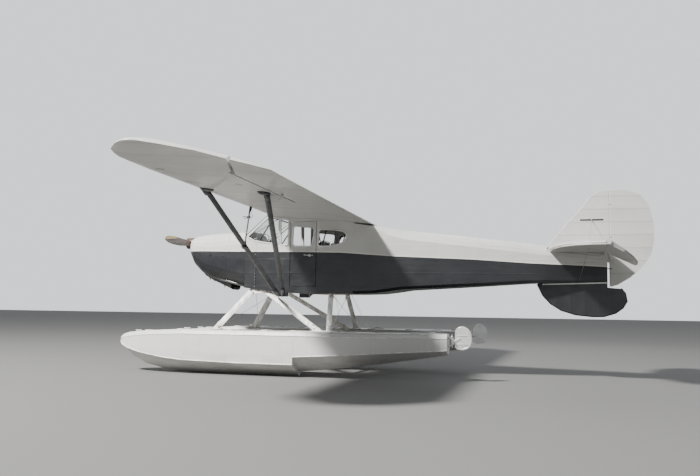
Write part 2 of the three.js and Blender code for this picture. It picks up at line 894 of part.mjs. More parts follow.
const finHalf = tail.finThickness / 2;
const rudderSlot = rod(v3(tail.rudderHinge, 0, 1000), v3(tail.rudderHinge, 0, 3000), finHalf + RUN_GAP, 20);
const finOutline = [
  [5830, planeTop + GAP],
  [6140, 2290],
  [6290, 2440],
  [6470, 2680],
  [6560, 2745],
  [6660, 2768],
  [tail.rudderHinge, 2770],
  [tail.rudderHinge, planeTop + GAP + 8],
  [tail.elevatorHinge + 40, planeTop + GAP + 8],
  [tail.elevatorHinge - 40, planeTop + GAP],
];
let fin = sidePrism(finOutline, -finHalf, finHalf).subtract(rudderSlot).subtract(rearHull.translate([0, 0, GAP]));

const rudderOutline = [
  [tail.rudderHinge, 1362],
  [6840, 1385],
  [7010, 1490],
  [7180, 1640],
  [7300, 1820],
  [tail.end, 2030],
  [7345, 2300],
  [7280, 2560],
  [7160, 2710],
  [7000, 2765],
  [tail.rudderHinge, 2770],
];
const rudderNose = rod(v3(tail.rudderHinge, 0, 1362), v3(tail.rudderHinge, 0, 2770), finHalf, 20);
const rudderWedge = planPrism(
  [
    [tail.rudderHinge, -finHalf],
    [tail.end + 10, -6],
    [tail.end + 10, 6],
    [tail.rudderHinge, finHalf],
  ],
  1300,
  2800,
);
let rudder = join(sidePrism(rudderOutline, -finHalf, finHalf).intersect(rudderWedge), rudderNose);

// Rudder lugs lie flat: the lowest on the sternpost, the others on the fin.
let sternLug;
hingeSeats.rudder.forEach((z, i) => {
  const reach = i === 0 ? tail.rudderHinge - tail.post + 20 : finHalf + RUN_GAP + 12;
  const end = rod(v3(tail.rudderHinge, 0, z - lug.half), v3(tail.rudderHinge, 0, z + lug.half), 17, 16);
  const arm = box(tail.rudderHinge - reach, tail.rudderHinge, -lug.arm, lug.arm, z - lug.half, z + lug.half);
  const clear = lug.half + GAP;
  rudder = rudder.subtract(box(tail.rudderHinge - 60, tail.rudderHinge + 18, -60, 60, z - clear, z + clear));
  if (i === 0) {
    sternLug = join(end, arm);
  } else {
    fin = fin.add(join(end, arm));
  }
});
place("fin", fin, paint.light);
place("rudder", rudder, paint.light);
place("fuselage_rear", join(rearHull, sternLug), paint.light);

const ventralOutline = [
  [5710, 1445],
  [5790, 1230],
  [5900, 1110],
  [6050, 1015],
  [6250, 955],
  [6480, 932],
  [6640, 935],
  [6800, 985],
  [6900, 1060],
  [6955, 1150],
  [6935, 1260],
  [6880, 1330],
  [tail.post, 1345],
  [tail.post, 1445],
];
const ventral = sidePrism(ventralOutline, -20, 20).subtract(rearHull.translate([0, 0, -GAP]));
place("ventral_fin", ventral, paint.dark);

// Floats

function floatRing(x, halfBeam, deck, chine, keel) {
  const y = float.centreY;
  const soft = Math.min(60, halfBeam * 0.4);
  const right = [
    [0, keel],
    [halfBeam, chine],
    [halfBeam, deck - soft],
    [halfBeam - soft * 0.3, deck - soft * 0.3],
    [halfBeam - soft, deck],
  ];
  const left = right
    .slice(1)
    .map(([a, b]) => [-a, b])
    .reverse();
  return [...right, ...left].map(([a, z]) => v3(x, y + a, z));
}

// Columns: x, half beam, deck, chine, keel
const forebody = [
  [float.bow, 60, 520, 440, 400],
  [-520, 130, 556, 400, 320],
  [-400, 195, 585, 355, 225],
  [-150, 258, 612, 295, 105],
  [250, 310, 636, 235, 22],
  [600, 332, float.deck, 205, 0],
  [1500, 340, float.deck, 185, 0],
  [float.step, 338, float.deck, 185, 0],
];
const afterbody = [
  [float.step - 40, 337, float.deck, 292, 62],
  [3000, 322, float.deck, 330, 130],
  [3800, 262, float.deck, 384, 245],
  [float.stern, 140, float.deck, 430, 360],
];
const floatRight = join(
  loft(forebody.map((row) => floatRing(...row))),
  loft(afterbody.map((row) => floatRing(...row))),
);
const floatLeft = mirrorY(floatRight);
place("float_right", floatRight, paint.white);
place("float_left", floatLeft, paint.white);

// Struts between fuselage and floats

const legs = {
  // fitting x, foot x, chord
  float_strut_front: [rig.frontFittingX, rig.frontFootX, 118],
  float_strut_diagonal: [rig.frontFittingX + 115, rig.rearFootX - 115, 150],
  float_strut_rear: [rig.rearFittingX, rig.rearFootX, 82],
};
Object.entries(legs).forEach(([name, [top, foot, chord]]) => {
  const upper = v3(top, rig.fittingY, bellyAt(top) + 30);
  const lower = v3(foot, rig.footY, float.deck - 30);
  const leg = strut(upper, lower, chord, 46, "z")
    .subtract(floatRight.translate([0, 0, GAP]))
    .subtract(sidePrism(wallProfile, -700, 700).translate([0, 0, -GAP]));
  place(name + "_right", leg, paint.white);
  place(name + "_left", mirrorY(leg), paint.white);
});

const spreaders = { spreader_front: rig.frontFootX + 70, spreader_rear: rig.rearFootX - 40 };
Object.entries(spreaders).forEach(([name, x]) => {
  const bar = strut(v3(x, -float.centreY, 540), v3(x, float.centreY, 540), 90, 40, "y")
    .subtract(floatRight.translate([0, -GAP, 0]))
    .subtract(floatLeft.translate([0, GAP, 0]));
  place(name, bar, paint.white);
});

// Wing struts

const liftRoot = v3(rig.liftRootX, rig.liftRootY, rig.liftRootZ);
const rootBlock = box(
  rig.liftRootX - 78,
  rig.liftRootX + 90,
  500,
  rig.liftRootY,
  rig.liftRootZ - 18,
  bellyAt(rig.liftRootX) + 30,
).subtract(sidePrism(wallProfile, -700, 700).translate([0, 0, -GAP]));

// A low oval cap closes each strut's joint with the wing.
const strutCaps = {
  front: { x: 1800, halfLength: 92, halfWidth: 84 },
  rear: { x: 2566, halfLength: 80, halfWidth: 84 },
};
// Height against the wing's underside, share of the full oval
const capLayers = [
  [25, 1],
  [-8, 1],
  [-24, 0.8],
  [-33, 0.45],
];
function strutCap({ x, halfLength, halfWidth }) {
  const count = 18;
  return loft(
    capLayers.map(([height, share]) =>
      Array.from({ length: count }, (_, i) => {
        const a = (2 * Math.PI * i) / count;
        const px = x + halfLength * share * Math.cos(a);
        const py = wing.strutY + halfWidth * share * Math.sin(a);
        return v3(px, py, wingUnderside(px - wing.leadingEdge, py) + height);
      }),
    ),
  ).subtract(wingRight.translate([0, 0, -GAP]));
}

const liftHead = (spar) => v3(wing.leadingEdge + spar, wing.strutY, wingUnderside(spar, wing.strutY) + 30);
const liftFoot = (shift) => liftRoot.clone().add(v3(shift, 0, 0));
const liftStrut = (foot, head, chord) =>
  strut(foot, head, chord, 44, "y").subtract(wingRight.translate([0, 0, -GAP]));
const frontFoot = liftFoot(-36);
const frontHead = liftHead(wing.frontSpar);
const liftFront = join(liftStrut(frontFoot, frontHead, 84), rootBlock, strutCap(strutCaps.front));
const liftRear = join(
  liftStrut(liftFoot(46), liftHead(wing.rearSpar), 80).subtract(liftFront.translate([0, GAP, 0])),
  strutCap(strutCaps.rear),
);
place("lift_strut_front_right", liftFront, paint.dark);
place("lift_strut_front_left", mirrorY(liftFront), paint.dark);
place("lift_strut_rear_right", liftRear, paint.dark);
place("lift_strut_rear_left", mirrorY(liftRear), paint.dark);

// A thin jury strut steadies each front lift strut at its middle and leans inboard to the wing.
const juryFoot = frontFoot.clone().lerp(frontHead, rig.juryShare);
const jury = rod(juryFoot, v3(rig.juryHeadX, rig.juryHeadY, frontHead.z), rig.juryRadius, 12)
  .subtract(wingRight.translate([0, 0, -GAP]))
  .subtract(liftFront.translate([0, 0, GAP]));
place("jury_strut_right", jury, paint.dark);
place("jury_strut_left", mirrorY(jury), paint.dark);

// Water rudders

const waterPostX = float.stern + 55;
const waterPost = join(
  rod(v3(waterPostX, float.centreY, 470), v3(waterPostX, float.centreY, 640), 11, 12),
  box(float.stern + GAP, waterPostX, float.centreY - 9, float.centreY + 9, 490, 505),
  box(float.stern + GAP, waterPostX, float.centreY - 9, float.centreY + 9, 605, 620),
);
place("water_rudder_post_right", waterPost, paint.metal);
place("water_rudder_post_left", mirrorY(waterPost), paint.metal);
const bladeOutline = new THREE.Shape();
bladeOutline.moveTo(waterPostX + 40, 470);
bladeOutline.lineTo(waterPostX + 40, 690);
bladeOutline.quadraticCurveTo(waterPostX + 60, 770, waterPostX + 150, 770);
bladeOutline.quadraticCurveTo(waterPostX + 270, 740, waterPostX + 270, 600);
bladeOutline.quadraticCurveTo(waterPostX + 270, 450, waterPostX + 150, 440);
bladeOutline.quadraticCurveTo(waterPostX + 60, 440, waterPostX + 40, 470);
const sleeve = rod(v3(waterPostX, float.centreY, 512), v3(waterPostX, float.centreY, 598), 20, 14).subtract(
  rod(v3(waterPostX, float.centreY, 400), v3(waterPostX, float.centreY, 700), 11 + 1, 14),
);
const waterBlade = join(
  sidePrism(bladeOutline, float.centreY - 3, float.centreY + 3),
  box(waterPostX + 16, waterPostX + 60, float.centreY - 5, float.centreY + 5, 530, 580),
  sleeve,
);
place("water_rudder_right", waterBlade, paint.metal);
place("water_rudder_left", mirrorY(waterBlade), paint.metal);

// Cabin fittings

const floorTop = cabin.floorTop + GAP;
place("instrument_panel", betweenWalls.intersect(box(1400, 1425, -700, 700, 1800, 2040)), paint.interior);

const seatProfile = [
  [0, 0],
  [400, 0],
  [400, 280],
  [520, 780],
  [450, 790],
  [350, 340],
  [0, 310],
];
const seatAt = (x, y0, y1) =>
  sidePrism(
    seatProfile.map(([a, b]) => [x + a, floorTop + b]),
    y0,
    y1,
  );
place("front_seat_right", seatAt(1960, 40, 470), paint.leather);
place("front_seat_left", seatAt(1960, -470, -40), paint.leather);
const benchProfile = [
  [0, 0],
  [420, 0],
  [420, 280],
  [505, 760],
  [430, 770],
  [350, 330],
  [0, 300],
];
const bench = sidePrism(
  benchProfile.map(([a, b]) => [2490 + a, floorTop + b]),
  -500,
  500,
);
place("rear_bench", bench, paint.leather);

// Two sticks stand on a cross tube, which a block carries on the floor.
const stick = { x: 1700, y: 250, tubeZ: 1300, top: 1760, lean: 90, tubeRadius: 16, radius: 13 };
const stickAt = (y) => rod(v3(stick.x, y, stick.tubeZ), v3(stick.x + stick.lean, y, stick.top), stick.radius, 12);
const controls = join(
  rod(v3(stick.x, -stick.y - 20, stick.tubeZ), v3(stick.x, stick.y + 20, stick.tubeZ), stick.tubeRadius, 12),
  stickAt(stick.y),
  stickAt(-stick.y),
  box(stick.x - 20, stick.x + 20, -20, 20, cabin.floorTop - 10, stick.tubeZ),
);
place("control_sticks", controls.subtract(floorPlate.translate([0, 0, GAP])), paint.iron);

// Centre the whole over its footprint
group.position.x = -(float.bow + tail.end) / 2;

export default group;
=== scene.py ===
import math

import bpy
from mathutils import Matrix, Vector
from mathutils.bvhtree import BVHTree


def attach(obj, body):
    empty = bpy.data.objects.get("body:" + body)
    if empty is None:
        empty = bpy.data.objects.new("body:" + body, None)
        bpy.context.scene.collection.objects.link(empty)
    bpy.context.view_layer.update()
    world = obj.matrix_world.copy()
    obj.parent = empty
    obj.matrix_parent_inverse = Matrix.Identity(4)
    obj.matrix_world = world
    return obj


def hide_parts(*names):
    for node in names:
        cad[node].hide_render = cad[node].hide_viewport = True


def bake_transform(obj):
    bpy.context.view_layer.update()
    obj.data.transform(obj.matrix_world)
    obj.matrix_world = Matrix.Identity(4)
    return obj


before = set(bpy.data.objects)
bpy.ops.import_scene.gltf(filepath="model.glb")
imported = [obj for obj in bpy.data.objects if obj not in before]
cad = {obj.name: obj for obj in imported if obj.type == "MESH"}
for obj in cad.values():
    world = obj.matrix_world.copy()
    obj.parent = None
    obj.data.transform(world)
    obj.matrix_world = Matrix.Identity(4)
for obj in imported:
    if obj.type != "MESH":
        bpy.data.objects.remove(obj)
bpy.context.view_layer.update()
print("frame loaded,", len(cad), "nodes")

# stations run aft from the propeller disc, the frame's x starts at mid length
noseShift = 3.38
upward, aftward, toStarboard, toPort = (0, 0, 1), (1, 0, 0), (0, 1, 0), (0, -1, 0)


def at(station, y, z):
    return Vector((station - noseShift, y, z))


# ---- hands-on helpers ----

def letGo():
    if bpy.context.object and bpy.context.object.mode != "OBJECT":
        bpy.ops.object.mode_set(mode="OBJECT")
    bpy.ops.object.select_all(action="DESELECT")


def pickUp(piece):
    letGo()
    piece.select_set(True)
    bpy.context.view_layer.objects.active = piece
    return piece


def settle(piece, name):
    # the piece's place goes into its mesh
    pickUp(piece)
    bpy.ops.object.transform_apply(location=True, rotation=True, scale=True)
    piece.name = name
    piece.data.name = name
    return piece


def finishWith(piece, material, body=None, smooth=None):
    # material is a name in skin
    piece.data.materials.clear()
    piece.data.materials.append(skin[material])
    if smooth is not None:
        pickUp(piece)
        bpy.ops.object.shade_smooth_by_angle(angle=math.radians(smooth))
    if body:
        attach(piece, body)
    return piece


def finishWhole(name, bits, material, smooth=None, body="airframe"):
    return finishWith(joined(name, bits), material, body, smooth=smooth)


def applied(piece, kind, **settings):
    pickUp(piece)
    modifier = piece.modifiers.new(kind.title(), kind)
    for key, value in settings.items():
        setattr(modifier, key, value)
    bpy.ops.object.modifier_apply(modifier=modifier.name)
    return piece


def onWhole(piece, *jobs):
    # mesh operators on the whole piece, each given with its settings
    pickUp(piece)
    bpy.ops.object.mode_set(mode="EDIT")
    for job, settings in jobs:
        bpy.ops.mesh.select_all(action="SELECT")
        job(**settings)
    bpy.ops.object.mode_set(mode="OBJECT")
    return piece


def onChosen(piece, kind, parts, test, job, **settings):
    # a mesh operator on the edges or faces that pass the test
    pickUp(piece)
    bpy.ops.object.mode_set(mode="EDIT")
    bpy.ops.mesh.select_mode(type=kind)
    bpy.ops.mesh.select_all(action="DESELECT")
    bpy.ops.object.mode_set(mode="OBJECT")
    for part in parts:
        part.select = test(part)
    bpy.ops.object.mode_set(mode="EDIT")
    job(**settings)
    bpy.ops.mesh.select_mode(type="VERT")
    bpy.ops.object.mode_set(mode="OBJECT")
    return piece


def softened(piece, width, segments=2):
    settings = {"offset": width, "segments": segments, "affect": "EDGES"}
    return onWhole(piece, (bpy.ops.mesh.bevel, settings)) if width else piece


def outwardAgain(piece):
    weld = {"threshold": 0.00005}
    return onWhole(
        piece, (bpy.ops.mesh.remove_doubles, weld), (bpy.ops.mesh.normals_make_consistent, {"inside": False})
    )


def asMesh(curve, name):
    pickUp(curve)
    bpy.ops.object.convert(target="MESH")
    return settle(bpy.context.object, name)


def block(name, low, high, round=0.0, steps=2):
    # a box between two corners with softened edges
    low, high = Vector(low), Vector(high)
    letGo()
    bpy.ops.mesh.primitive_cube_add(size=1, location=(low + high) / 2)
    piece = bpy.context.object
    piece.scale = high - low
    return softened(settle(piece, name), round, steps)


def rod(name, start, end, radius, sides=16, tip=None, round=0.0):
    # a round bar or cone between two points, its end edges softened
    start, end = Vector(start), Vector(end)
    along = end - start
    letGo()
    bpy.ops.mesh.primitive_cone_add(
        vertices=sides,
        radius1=radius,
        radius2=radius if tip is None else tip,
        depth=along.length,
        location=(start + end) / 2,
        rotation=along.to_track_quat("Z", "Y").to_euler(),
    )
    piece = settle(bpy.context.object, name)
    if not round:
        return piece
    axis = along.normalized()

    def acrossAxis(edge):
        a, b = (piece.data.vertices[i].co for i in edge.vertices)
        return abs((b - a).normalized().dot(axis)) < 0.5

    bevel = {"offset": round, "segments": 2, "affect": "EDGES"}
    return onChosen(piece, "EDGE", piece.data.edges, acrossAxis, bpy.ops.mesh.bevel, **bevel)


def tube(name, points, radius, sides=8, closed=False, soft=False):
    # a wire, pipe or bead through points, bent softly or sharply at them
    letGo()
    bpy.ops.curve.primitive_bezier_curve_add(location=(0, 0, 0))
    piece = bpy.context.object
    curve = piece.data
    curve.dimensions = "3D"
    curve.fill_mode = "FULL"
    spline = curve.splines[0]
    spline.bezier_points.add(len(points) - len(spline.bezier_points))
    for knot, point in zip(spline.bezier_points, points):
        knot.co = Vector(point)
        knot.handle_left_type = knot.handle_right_type = "AUTO" if soft else "VECTOR"
    spline.use_cyclic_u = closed
    curve.resolution_u = 5 if soft else 1
    curve.bevel_depth = radius
    curve.bevel_resolution = max(0, sides // 4 - 1)
    curve.use_fill_caps = not closed
    return outwardAgain(asMesh(piece, name))


def joined(name, pieces):
    letGo()
    for piece in pieces:
        piece.select_set(True)
    bpy.context.view_layer.objects.active = pieces[0]
    if len(pieces) > 1:
        bpy.ops.object.join()
    whole = bpy.context.object
    whole.name = name
    whole.data.name = name
    return whole


def freed(copy):
    # a copy stands alone, with no parent and none of the frame's marks
    copy.parent = None
    copy.matrix_world = Matrix.Identity(4)
    for key in list(copy.keys()):
        if key.startswith("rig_"):
            del copy[key]
    return copy


def mirrored(piece, name):
    # the same piece on the other side of the middle plane, with a mesh of its own
    pickUp(piece)
    bpy.ops.object.duplicate()
    twin = freed(bpy.context.object)
    twin.scale = (1, -1, 1)
    return onWhole(settle(twin, name), (bpy.ops.mesh.flip_normals, {}))


def bandOf(node, name, cuts, lift, wall=0.0):
    # a strip of a node's own skin: the skin is copied, cut by planes and lifted a little
    piece = cad[node].copy()
    piece.data = cad[node].data.copy()
    bpy.context.scene.collection.objects.link(piece)
    freed(piece).name = name
    jobs = [(bpy.ops.mesh.remove_doubles, {"threshold": 0.00002})]
    for point, normal in cuts:
        jobs.append((bpy.ops.mesh.bisect, {"plane_co": point, "plane_no": normal, "clear_outer": True}))
    onWhole(piece, *jobs)
    if len(piece.data.polygons) == 0:
        raise SystemExit("nothing left of " + name)
    applied(piece, "DISPLACE", mid_level=0.0, strength=lift)
    if wall:
        applied(piece, "SOLIDIFY", thickness=wall, offset=1.0)
    return settle(piece, name)


def dropFaces(piece, keep):
    # keeps the faces whose centre and normal pass the test
    def unwanted(face):
        return not keep(face.center, face.normal)

    return onChosen(piece, "FACE", piece.data.polygons, unwanted, bpy.ops.mesh.delete, type="FACE")


def throwAway(piece):
    bpy.data.objects.remove(piece)


def sown(name, seed, places):
    # one small fastener copied to many places, each given as a point and the way it faces
    base = [v.co.copy() for v in seed.data.vertices]
    faces = [list(p.vertices) for p in seed.data.polygons]
    points, loops = [], []
    for place, facing in places:
        turn = Vector(facing).to_track_quat("Z", "Y").to_matrix()
        first = len(points)
        points += [turn @ v + Vector(place) for v in base]
        loops += [[first + i for i in face] for face in faces]
    mesh = bpy.data.meshes.new(name)
    mesh.from_pydata(points, [], loops)
    piece = bpy.data.objects.new(name, mesh)
    bpy.context.scene.collection.objects.link(piece)
    throwAway(seed)
    return piece


# radius, height and number of sides of screw and rivet heads
domeHeads = {
    "windowScrew": (0.0034, 0.0016, 8),
    "panelScrew": (0.0046, 0.002, 8),
    "capScrew": (0.0042, 0.002, 8),
    "hingeScrew": (0.0034, 0.0015, 6),
    "floatRivet": (0.0045, 0.0019, 6),
    "sheetRivet": (0.0036, 0.0016, 6),
}
# radius and height of hexagon heads
boltHeads = {"strut": (0.008, 0.010), "gear": (0.0085, 0.009), "spreader": (0.006, 0.007), "hub": (0.0082, 0.010)}


def domeSeed(kind):
    radius, height, sides = domeHeads[kind]
    letGo()
    bpy.ops.mesh.primitive_uv_sphere_add(segments=sides, ring_count=6, radius=radius)
    underside = {"plane_co": (0, 0, -0.0001), "plane_no": (0, 0, -1), "clear_outer": True, "use_fill": True}
    seed = onWhole(bpy.context.object, (bpy.ops.mesh.bisect, underside))
    seed.scale = (1, 1, height / radius)
    return settle(seed, "seed")


def boltSeed(kind):
    # a hexagon head on a washer
    radius, height = boltHeads[kind]
    letGo()
    parts = []
    for sides, wide, deep, middle in (
        (12, radius * 1.5, height * 0.4, height * 0.2), (6, radius, height, height * 0.7)
    ):
        bpy.ops.mesh.primitive_cylinder_add(vertices=sides, radius=wide, depth=deep, location=(0, 0, middle))
        parts.append(settle(bpy.context.object, "head"))
    softened(parts[1], height * 0.12, 1)
    return joined("seed", parts)


def rounded(corners, radius, steps=5):
    # polygon corners eased into curves; one radius or one for each corner
    count = len(corners)
    radii = radius if isinstance(radius, (list, tuple)) else [radius] * count
    path = []
    for i, reach in enumerate(radii):
        here = Vector(corners[i])
        before, after = Vector(corners[i - 1]) - here, Vector(corners[(i + 1) % count]) - here
        turn = before.angle(after) / 2
        cut = min(reach / math.tan(turn), 0.46 * min(before.length, after.length))
        first, last = here + before.normalized() * cut, here + after.normalized() * cut
        for k in range(steps + 1):
            t = k / steps
            path.append((1 - t) ** 2 * first + 2 * t * (1 - t) * here + t * t * last)
    return path


def grown(corners, amount):
    # the polygon's edges moved outward by an even amount
    count = len(corners)
    area = sum(corners[i - 1][0] * corners[i][1] - corners[i][0] * corners[i - 1][1] for i in range(count))
    amount = amount if area > 0 else -amount
    path = []
    for i in range(count):
        here = Vector(corners[i])
        before = (here - Vector(corners[i - 1])).normalized()
        after = (Vector(corners[(i + 1) % count]) - here).normalized()
        normal = (Vector((before.y, -before.x)) + Vector((after.y, -after.x))).normalized()
        path.append(tuple(here + normal * amount / max(0.35, normal.dot(Vector((before.y, -before.x))))))
    return path


def plate(name, outlines, thickness, place, edge=0.0):
    # a flat sheet with holes, given its thickness and laid where place puts each (u, v, depth)
    letGo()
    bpy.ops.curve.primitive_bezier_curve_add(location=(0, 0, 0))
    piece = bpy.context.object
    curve = piece.data
    curve.dimensions = "2D"
    curve.fill_mode = "BOTH"
    curve.splines.clear()
    for outline in outlines:
        spline = curve.splines.new("POLY")
        spline.points.add(len(outline) - 1)
        for knot, (u, v) in zip(spline.points, outline):
            knot.co = (u, v, 0, 1)
        spline.use_cyclic_u = True
    curve.extrude = thickness / 2 - edge
    curve.bevel_depth = edge
    curve.bevel_resolution = 1
    piece = asMesh(piece, name)
    for vertex in piece.data.vertices:
        vertex.co = place(*vertex.co)
    return outwardAgain(piece)


def bar(name, start, end, width, thickness, facing, round=0.0):
    # a flat strip from one point to another with its broad side facing a given way
    start, end = Vector(start), Vector(end)
    along = (end - start).normalized()
    facing = Vector(facing)
    facing = (facing - facing.dot(along) * along).normalized()
    across = facing.cross(along)
    letGo()
    bpy.ops.mesh.primitive_cube_add(size=1, location=(0, 0, 0))
    piece = bpy.context.object
    piece.scale = ((end - start).length, width, thickness)
    softened(settle(piece, name), round)
    turn = Matrix((along, across, facing)).transposed().to_4x4()
    piece.matrix_world = Matrix.Translation((start + end) / 2) @ turn
    return settle(piece, name)


def ring(name, centre, facing, radius, thick, sides=24, wire=10):
    # a torus about a centre, facing a given way
    letGo()
    bpy.ops.mesh.primitive_torus_add(
        major_radius=radius,
        minor_radius=thick,
        major_segments=sides,
        minor_segments=wire,
        location=Vector(centre),
        rotation=Vector(facing).to_track_quat("Z", "Y").to_euler(),
    )
    return settle(bpy.context.object, name)


def bothSides(piece, name, material, bodies=None, smooth=30):
    # finishes a near side piece, or the pieces joined to one, and its twin on the far side
    left, right = bodies or ("airframe", "airframe")
    if isinstance(piece, list):
        piece = joined(name, piece)
    twin = mirrored(piece, name + "Right")
    finishWith(twin, material, right, smooth)
    piece.name = piece.data.name = name + "Left"
    finishWith(piece, material, left, smooth)
    return piece, twin


def sownPair(name, seed, places, material, bodies=None):
    return bothSides(sown(name, seed, places), name, material, bodies)


def bendingCables(piece, name, riders):
    # a cable and its twin, finished in steel with their place baked into the mesh; riders is not used
    twin = mirrored(piece, name + "Right")
    piece.name = piece.data.name = name + "Left"
    for cable, rider, side in ((piece, riders[0], 1), (twin, riders[1], -1)):
        finishWith(cable, "steel", smooth=40)
        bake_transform(cable)


def steps(first, last, pitch):
    count = max(1, round((last - first) / pitch))
    return [first + (last - first) * i / count for i in range(count + 1)]


# ---- camera, light and floor ----
shot = {
    "place": (2.7906, -11.9728, 1.0154),
    "ahead": (-0.27070, 0.95863, 0.08806),
    "roll": 0.013257,
    "lens": 40.111,
    "floorTone": (0.155, 0.155, 0.152),
    "backdropTone": (0.80, 0.82, 0.84),
    "backdropGlow": 1.5,
    "fill": 0.10,
}

ahead = Vector(shot["ahead"]).normalized()
level = ahead.cross(Vector(upward)).normalized()
upright = level.cross(ahead)
c, s = math.cos(shot["roll"]), math.sin(shot["roll"])
right = level * c + upright * s
over = upright * c - level * s
letGo()
bpy.ops.object.camera_add(location=shot["place"])
camera = bpy.context.object
camera.name = "photoCamera"
camera.rotation_mode = "QUATERNION"
camera.rotation_quaternion = Matrix((right, over, -ahead)).transposed().to_quaternion()
camera.data.lens = shot["lens"]
camera.data.sensor_width = 36.0
camera.data.clip_end = 600.0
bpy.context.scene.camera = camera

lamps = {
    "sunSide": {
        "place": (-10.7, -13.4, 18.0), "aim": (0.0, 0.0, 1.2), "size": 2.6, "power": 17000, "tone": (1.0, 0.985, 0.95)
    },
    "skySide": {
        "place": (7.0, -10.0, 9.0), "aim": (1.0, 0.0, 1.0), "size": 7.0, "power": 160, "tone": (0.93, 0.96, 1.0)
    },
    "backSide": {
        "place": (2.0, 11.0, 8.0), "aim": (0.0, 0.0, 1.2), "size": 7.0, "power": 260, "tone": (0.95, 0.97, 1.0)
    },
}
for name, lamp in lamps.items():
    letGo()
    bpy.ops.object.light_add(type="AREA", location=lamp["place"])
    light = bpy.context.object
    light.name = name
    light.data.shape = "DISK"
    light.data.size = lamp["size"]
    light.data.energy = lamp["power"]
    light.data.color = lamp["tone"]
    light.rotation_mode = "QUATERNION"
    light.rotation_quaternion = (Vector(lamp["aim"]) - Vector(lamp["place"])).to_track_quat("-Z", "Y")

# a pale backdrop behind, which lights the piece more faintly than it looks
sky = bpy.data.worlds.new("paleBackdrop")
bpy.context.scene.world = sky
sky.use_nodes = True
glow = sky.node_tree.nodes["Background"]
glow.inputs["Color"].default_value = (*shot["backdropTone"], 1)
seen = sky.node_tree.nodes.new("ShaderNodeLightPath")
share = sky.node_tree.nodes.new("ShaderNodeMapRange")
share.inputs["To Min"].default_value = shot["fill"]
share.inputs["To Max"].default_value = shot["backdropGlow"]
either = sky.node_tree.nodes.new("ShaderNodeMath")
either.operation = "MAXIMUM"
sky.node_tree.links.new(seen.outputs["Is Camera Ray"], either.inputs[0])
sky.node_tree.links.new(seen.outputs["Is Glossy Ray"], either.inputs[1])
sky.node_tree.links.new(either.outputs[0], share.inputs["Value"])
sky.node_tree.links.new(share.outputs["Result"], glow.inputs["Strength"])

letGo()
bpy.ops.mesh.primitive_plane_add(size=160, location=(0, 0, -0.0005))
floorSheet = bpy.context.object
floorSheet.name = "floorSheet"
floorPaint = bpy.data.materials.new("floorTone")
floorPaint.use_nodes = True
floorPaint.node_tree.nodes["Principled BSDF"].inputs["Base Color"].default_value = (*shot["floorTone"], 1)
floorPaint.node_tree.nodes["Principled BSDF"].inputs["Roughness"].default_value = 0.85
floorSheet.data.materials.append(floorPaint)


# ---- materials ----

def skinStart(name, roughness=0.5, metal=0.0):
    material = bpy.data.materials.new(name)
    material.use_nodes = True
    tree = material.node_tree
    shader = tree.nodes["Principled BSDF"]
    shader.inputs["Roughness"].default_value = roughness
    shader.inputs["Metallic"].default_value = metal
    return material, tree, shader


def put(tree, kind, inputs=None, **settings):
    made = tree.nodes.new(kind)
    for key, value in settings.items():
        setattr(made, key, value)
    for key, value in (inputs or {}).items():
        if isinstance(value, bpy.types.NodeSocket):
            tree.links.new(value, made.inputs[key])
        else:
            made.inputs[key].default_value = value
    return made


def spots(tree, scale, stretch=(1, 1, 1), detail=4.0, roughness=0.55):
    # noise laid out in the piece's own coordinates, stretched along its axes
    where = put(tree, "ShaderNodeTexCoord").outputs["Object"]
    frameOf = put(tree, "ShaderNodeMapping", {"Vector": where, "Scale": stretch})
    return put(
        tree,
        "ShaderNodeTexNoise",
        {"Vector": frameOf.outputs["Vector"], "Scale": scale, "Detail": detail, "Roughness": roughness},
    ).outputs["Fac"]


def axes(tree):
    where = put(tree, "ShaderNodeTexCoord").outputs["Object"]
    return put(tree, "ShaderNodeSeparateXYZ", {"Vector": where}).outputs


def sums(tree, operation, *values):
    return put(tree, "ShaderNodeMath", dict(enumerate(values)), operation=operation).outputs[0]


def times(tree, first, second):
    return sums(tree, "MULTIPLY", first, second)


def between(tree, value, low, high, to=(0.0, 1.0), soft=False):
    kind = "SMOOTHSTEP" if soft else "LINEAR"
    spread = {"Value": value, "From Min": low, "From Max": high, "To Min": to[0], "To Max": to[1]}
    return put(tree, "ShaderNodeMapRange", spread, interpolation_type=kind).outputs["Result"]


def blended(tree, factor, first, second):
    # from the first colour to the second; inputs 6 and 7 of the node are its colours, output 2 is the result
    first, second = (c if isinstance(c, bpy.types.NodeSocket) else (*c, 1) for c in (first, second))
    return put(tree, "ShaderNodeMix", {0: factor, 6: first, 7: second}, data_type="RGBA").outputs[2]


def patches(tree, scale, stretch, detail, low, high, roughness=0.55):
    # soft-edged patches of noise
    return between(tree, spots(tree, scale, stretch, detail, roughness), low, high, soft=True)


def stripes(tree, value, pitch, width, offset=0.0):
    # 1 on narrow bands that come back every pitch metres, 0 between them
    phase = sums(tree, "PINGPONG", sums(tree, "ADD", value, 50 * pitch - offset), pitch / 2)
    return between(tree, phase, width / 2, width / 2 * 0.6, soft=True)


def bumped(tree, shader, layers):
    # each layer is a height and how far it stands out in metres
    normal = None
    for height, distance in layers:
        inputs = {"Height": height, "Distance": distance, "Strength": 1.0}
        if normal is not None:
            inputs["Normal"] = normal
        normal = put(tree, "ShaderNodeBump", inputs).outputs["Normal"]
    tree.links.new(normal, shader.inputs["Normal"])


def coloured(tree, shader, colour):
    tree.links.new(colour, shader.inputs["Base Color"])


def roughened(tree, shader, value, low, high):
    tree.links.new(between(tree, value, 0.3, 0.7, (low, high)), shader.inputs["Roughness"])


